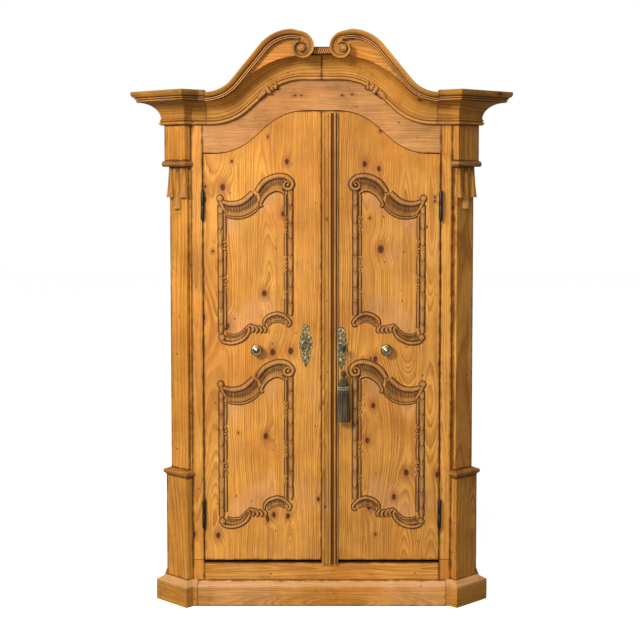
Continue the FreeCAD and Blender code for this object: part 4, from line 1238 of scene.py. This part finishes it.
# Bosses of an escutcheon: mm to each side, share of the way down, and radius in mm.
PLATE_BOSSES = [
    (0, 0.05, 7), (10, 0.085, 7), (0, 0.165, 9), (13, 0.20, 6), (0, 0.27, 7), (14, 0.30, 8),
    (21, 0.40, 6), (21, 0.545, 6), (13, 0.645, 8), (0, 0.67, 7), (14, 0.735, 7), (0, 0.775, 9),
    (8, 0.855, 6), (0, 0.91, 6),
]
BOSS_SPREAD = 2.5
PLATE_X = {"left": -62.0, "right": 76.0}
PLATE_TALL = 168.0
PLATE_COLUMNS = 44
PLATE_ROWS = 109
PLATE_THICKNESS = 2.5
PLATE_SINK = 0.2
STRIP_CLEARANCE = 0.1
# The oval about the keyhole, and the hole itself: a slot below a round.
OVAL_HALF = (15.0, 19.0)
OVAL_REACH = 1.25
SLOT_HALF = 2.6
SLOT_ENDS = (-9, 7)
ROUND_Z = 6.0
ROUND_RADIUS = 4.2
HOLE_HEIGHT = 0.4
FIELD_HEIGHT = 0.95


def plate_half_width(share):
    for (a, wide), (b, next_wide) in zip(PLATE_HALF_WIDTHS, PLATE_HALF_WIDTHS[1:]):
        if share <= b:
            eased = (1 - cos(pi * (share - a) / (b - a))) / 2
            return wide + (next_wide - wide) * eased
    return PLATE_HALF_WIDTHS[-1][1]


def plate_height(x, share, half):
    """Embossing of an escutcheon in mm: round bosses, a ringed oval and a keyhole."""
    z = (0.5 - share) * PLATE_TALL
    slot = abs(x) < SLOT_HALF and SLOT_ENDS[0] < z < SLOT_ENDS[1]
    if slot or hypot(x, z - ROUND_Z) < ROUND_RADIUS:
        return HOLE_HEIGHT
    oval = hypot(x / OVAL_HALF[0], z / OVAL_HALF[1])
    if oval < OVAL_REACH:
        return 1.2 + 1.4 * exp(-((oval - 1.0) / 0.2) ** 2)
    rise = 0.0
    for side, down, radius in PLATE_BOSSES:
        near = hypot(abs(x) - side, (down - share) * PLATE_TALL) / (radius + BOSS_SPREAD)
        rise = max(rise, 1.0 - near ** 1.6)
    rim = 0.45 * exp(-((abs(x) / half - 0.88) / 0.12) ** 2)
    return FIELD_HEIGHT + max(rise, rim)


def add_escutcheons(material):
    for side in HANDS:
        node = "escutcheon_" + side
        bm = new_shape()

        def place(i, j, side=side, top_z=middle(node).z + PLATE_TALL / 2):
            share = j / PLATE_ROWS
            half = plate_half_width(share)
            x = half * (2 * i / PLATE_COLUMNS - 1)
            rise = plate_height(x, share, half)
            out, relief = min(rise, PLATE_THICKNESS), min(1.0, max(0.0, (rise - 0.7) / 1.6))
            if i in (0, PLATE_COLUMNS) or j in (0, PLATE_ROWS):
                out, relief = -PLATE_SINK, 0.0
            return (PLATE_X[side] + x, DOOR_Y - out, top_z - PLATE_TALL * share), relief

        surface(bm, PLATE_COLUMNS + 1, PLATE_ROWS + 1, place)
        if side == "right":
            edge_x = (high("astragal").x + STRIP_CLEARANCE) * MM
            bmesh.ops.bisect_plane(bm, geom=bm.verts[:] + bm.edges[:] + bm.faces[:],
                                   plane_co=(edge_x, 0, 0), plane_no=(1, 0, 0), clear_inner=True)
        add_piece("embossed_plate_" + side, bm, material, "door_" + side, [node], PLATE_ANGLE)


# Silk tassel on its cord, which loops over the key's shank. Its profile gives radius, drop and relief.
TASSEL_PROFILE = [
    (0, 0, 1), (6, 1, 1), (9.5, 4, 1), (11, 9, 1), (10.5, 15, 1), (8, 20, 0.6), (5.6, 24, 0.1),
    (5.6, 26, 0.1), (8, 28, 0.7), (11, 32, 1), (14.5, 39, 1), (17.5, 47, 1), (19.6, 53, 1), (19.8, 56, 0.6),
    (17.6, 58, 0.0), (17.6, 60, 0.0), (18.2, 79, 0.1), (20.5, 81, 0.6), (22, 86, 0.8), (22.8, 100, 0.8),
    (23.8, 125, 0.8), (25, 155, 0.8), (26.2, 185, 0.8), (26.6, 196, 0.7), (26, 200, 0.3), (12, 197, 0.0),
    (0, 196, 0.0),
]
TASSEL_FACETS = 144
TASSEL_RADIUS = 27.0
# Drops from the top of the tassel: its neck, its ribbed bell, and the threads of its skirt.
NECK_DROP = 26.0
SQUEEZE_LENGTH = 20.0
BELL_DROPS = (28, 56)
SKIRT_DROPS = (80, 199)
BAND_DROPS = (65, 73)
BAND_BEADS = 14
BAND_RADIUS = 19.0
BEAD_RADIUS = 4.3
BEAD_SHAPE = (1.0, 0.8, 0.95)
BEAD_FACETS = (12, 8)
KEY_Z = 1018.0
CORD_RADIUS = 1.5
LOOP_RADIUS = 5.3
LOOP_RISES = (0, 25, 55, 80)
LOOP_BENDS = 8


def add_tassel_body(centre, top, deep, silk_material, band_material):
    """Head, bell and skirt of threads, flattened to deep times their width, and a band of beads."""
    bm = new_shape()

    def place(i, j):
        turn = 2 * pi * i / TASSEL_FACETS
        radius, down, relief = TASSEL_PROFILE[j]
        if SKIRT_DROPS[0] < down < SKIRT_DROPS[1]:
            radius *= 1 + 0.018 * sin(36 * turn) + 0.012 * sin(5 * turn + 0.05 * down)
        elif BELL_DROPS[0] <= down <= BELL_DROPS[1]:
            radius *= 1 + 0.03 * sin(18 * turn + 0.22 * down)
        radius = min(radius, TASSEL_RADIUS)
        round_share = min(1.0, max(0.0, 1 - (down - NECK_DROP) / SQUEEZE_LENGTH))
        squeeze = deep + (1 - deep) * round_share
        return (centre.x + radius * cos(turn), centre.y + radius * squeeze * sin(turn),
                top - down), relief, down, i

    surface(bm, TASSEL_FACETS + 1, len(TASSEL_PROFILE), place)
    add_piece("silk_tassel", bm, silk_material, "tassel", ["tassel"], SILK_ANGLE)
    bm = new_shape()
    for row, down in enumerate(BAND_DROPS):
        for step in range(BAND_BEADS):
            turn = 2 * pi * (step + 0.5 * row) / BAND_BEADS
            bead = Vector((centre.x + BAND_RADIUS * cos(turn),
                           centre.y + BAND_RADIUS * deep * sin(turn), top - down))
            verts = bmesh.ops.create_uvsphere(bm, u_segments=BEAD_FACETS[0], v_segments=BEAD_FACETS[1],
                                              radius=BEAD_RADIUS * MM)["verts"]
            bmesh.ops.scale(bm, vec=BEAD_SHAPE, verts=verts)
            bmesh.ops.translate(bm, vec=bead * MM, verts=verts)
    add_piece("tassel_band", bm, band_material, "tassel", ["tassel"], SILK_ANGLE)


def add_tassel(silk_material, band_material, cord_material):
    centre, top = middle("tassel"), high("tassel").z
    deep = (high("tassel").y - low("tassel").y) / (high("tassel").x - low("tassel").x)
    add_tassel_body(centre, top, deep, silk_material, band_material)
    rises = [top + rise for rise in LOOP_RISES] + [KEY_Z]
    reach = LOOP_RADIUS / cos(pi / LOOP_BENDS / 2)
    turns = [pi * (1 - step / LOOP_BENDS) for step in range(1, LOOP_BENDS)]
    route = [(-LOOP_RADIUS, z) for z in rises]
    route += [(reach * cos(turn), KEY_Z + reach * sin(turn)) for turn in turns]
    route += [(LOOP_RADIUS, z) for z in rises[::-1]]
    curve = bpy.data.curves.new("tassel_loop", "CURVE")
    curve.dimensions = "3D"
    curve.bevel_depth = CORD_RADIUS * MM
    curve.bevel_resolution = 4
    curve.resolution_u = 8
    spline = curve.splines.new("NURBS")
    spline.points.add(len(route) - 1)
    for point, (x, z) in zip(spline.points, route):
        point.co = ((centre.x + x) * MM, centre.y * MM, z * MM, 1.0)
    spline.order_u = 3
    spline.use_endpoint_u = True
    curve.materials.append(cord_material)
    cord = add_object("tassel_loop", curve)
    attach(cord, "tassel")
    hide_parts("tassel_cord")


# Tones of the mouldings and the carving, and widths of their boards and rings in metres.
CORNICE_TONES = {"cove_left": 0.9, "cove_right": 0.9, "neck_left": 0.76, "neck_right": 0.76}
MOULDING_TONES = {"corner_left": 0.68, "corner_right": 0.72, "sides": 0.76, "caps": 0.68,
                  "necks": 0.52, "drops": 0.72, "husks": 0.56}
CARVING_TONE = 0.60
STRIP_TONE = 0.95
CORNICE_BOARD = 0.3
CORNICE_RING = 0.012
MOULDING_BOARD = 0.2
STRIP_BOARD = 0.08
IRON_NODES = ("hinge_pins", "hinge_frame_halves", "hinge_door_halves_left", "hinge_door_halves_right",
              "key", "lock_case", "lock_bolt", "bolt_cases", "bolt_keepers", "top_bolt", "bottom_bolt")
# What a box is lengthened by at its foot and top, in metres, so that only its two sides are seams.
OPEN_ENDS = Vector((0.0, 0.0, 1.0))


def moulding_materials():
    made = {}
    for step, (name, tone) in enumerate(CORNICE_TONES.items()):
        start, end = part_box("cornice_cove_" + name.split("_")[1])
        # Dark wax and painted shade along the two sides of the cove and the neck.
        seams = (edge_wax_and_shade, (Vector(start) - OPEN_ENDS, Vector(end) + OPEN_ENDS))
        made[name] = pine("moulding_pine_" + name, "uv", CORNICE_BOARD, CORNICE_RING, 11.0 + 3.1 * step,
                          tone, knot_density=6.5, knot_size=0.014, effects=[seams, CARVED])
    for step, (name, tone) in enumerate(MOULDING_TONES.items()):
        grain = "up" if name == "drops" else "across"
        made[name] = pine("moulding_pine_" + name, grain, MOULDING_BOARD, seed=31.0 + 2.7 * step,
                          tone=tone, effects=[CARVED])
    return made


add_camera()
add_studio()
dress_carcass()
dress_doors()
brass = metal("old_brass", (0.45, 0.35, 0.17, 1.0), (0.095, 0.072, 0.036, 1.0), 0.36, 90.0)
iron = metal("dark_iron", (0.19, 0.175, 0.155, 1.0), (0.045, 0.040, 0.035, 1.0), 0.46, 60.0)
for node in IRON_NODES:
    dress(node, iron, IRON_EDGE)
carving_pine = {side: pine("carving_pine_" + side, "up", DOOR_BOARD, seed=DOOR_SEEDS[side],
                           tone=CARVING_TONE, effects=[CARVED]) for side in HANDS}
add_carved_frames(carving_pine)
moulding_pine = moulding_materials()
add_cornice(moulding_pine)
add_corner_mouldings(moulding_pine)
add_pilaster_mouldings(moulding_pine)
add_husks(moulding_pine["husks"])
add_crest(carving_pine["right"])
add_meeting_strip(pine("strip_pine", "up", STRIP_BOARD, seed=93.0, tone=STRIP_TONE, effects=[CARVED]))
add_knobs(metal("rubbed_brass", (0.66, 0.57, 0.36, 1.0), (0.24, 0.19, 0.10, 1.0), 0.30, 70.0))
add_escutcheons(brass)
add_tassel(silk("olive_silk", (0.125, 0.088, 0.040, 1.0), (0.024, 0.016, 0.007, 1.0), 300.0),
           silk("pale_silk", (0.40, 0.35, 0.23, 1.0), (0.10, 0.085, 0.05, 1.0), 300.0),
           silk("cord_silk", (0.20, 0.165, 0.085, 1.0), (0.06, 0.05, 0.03, 1.0), 900.0))
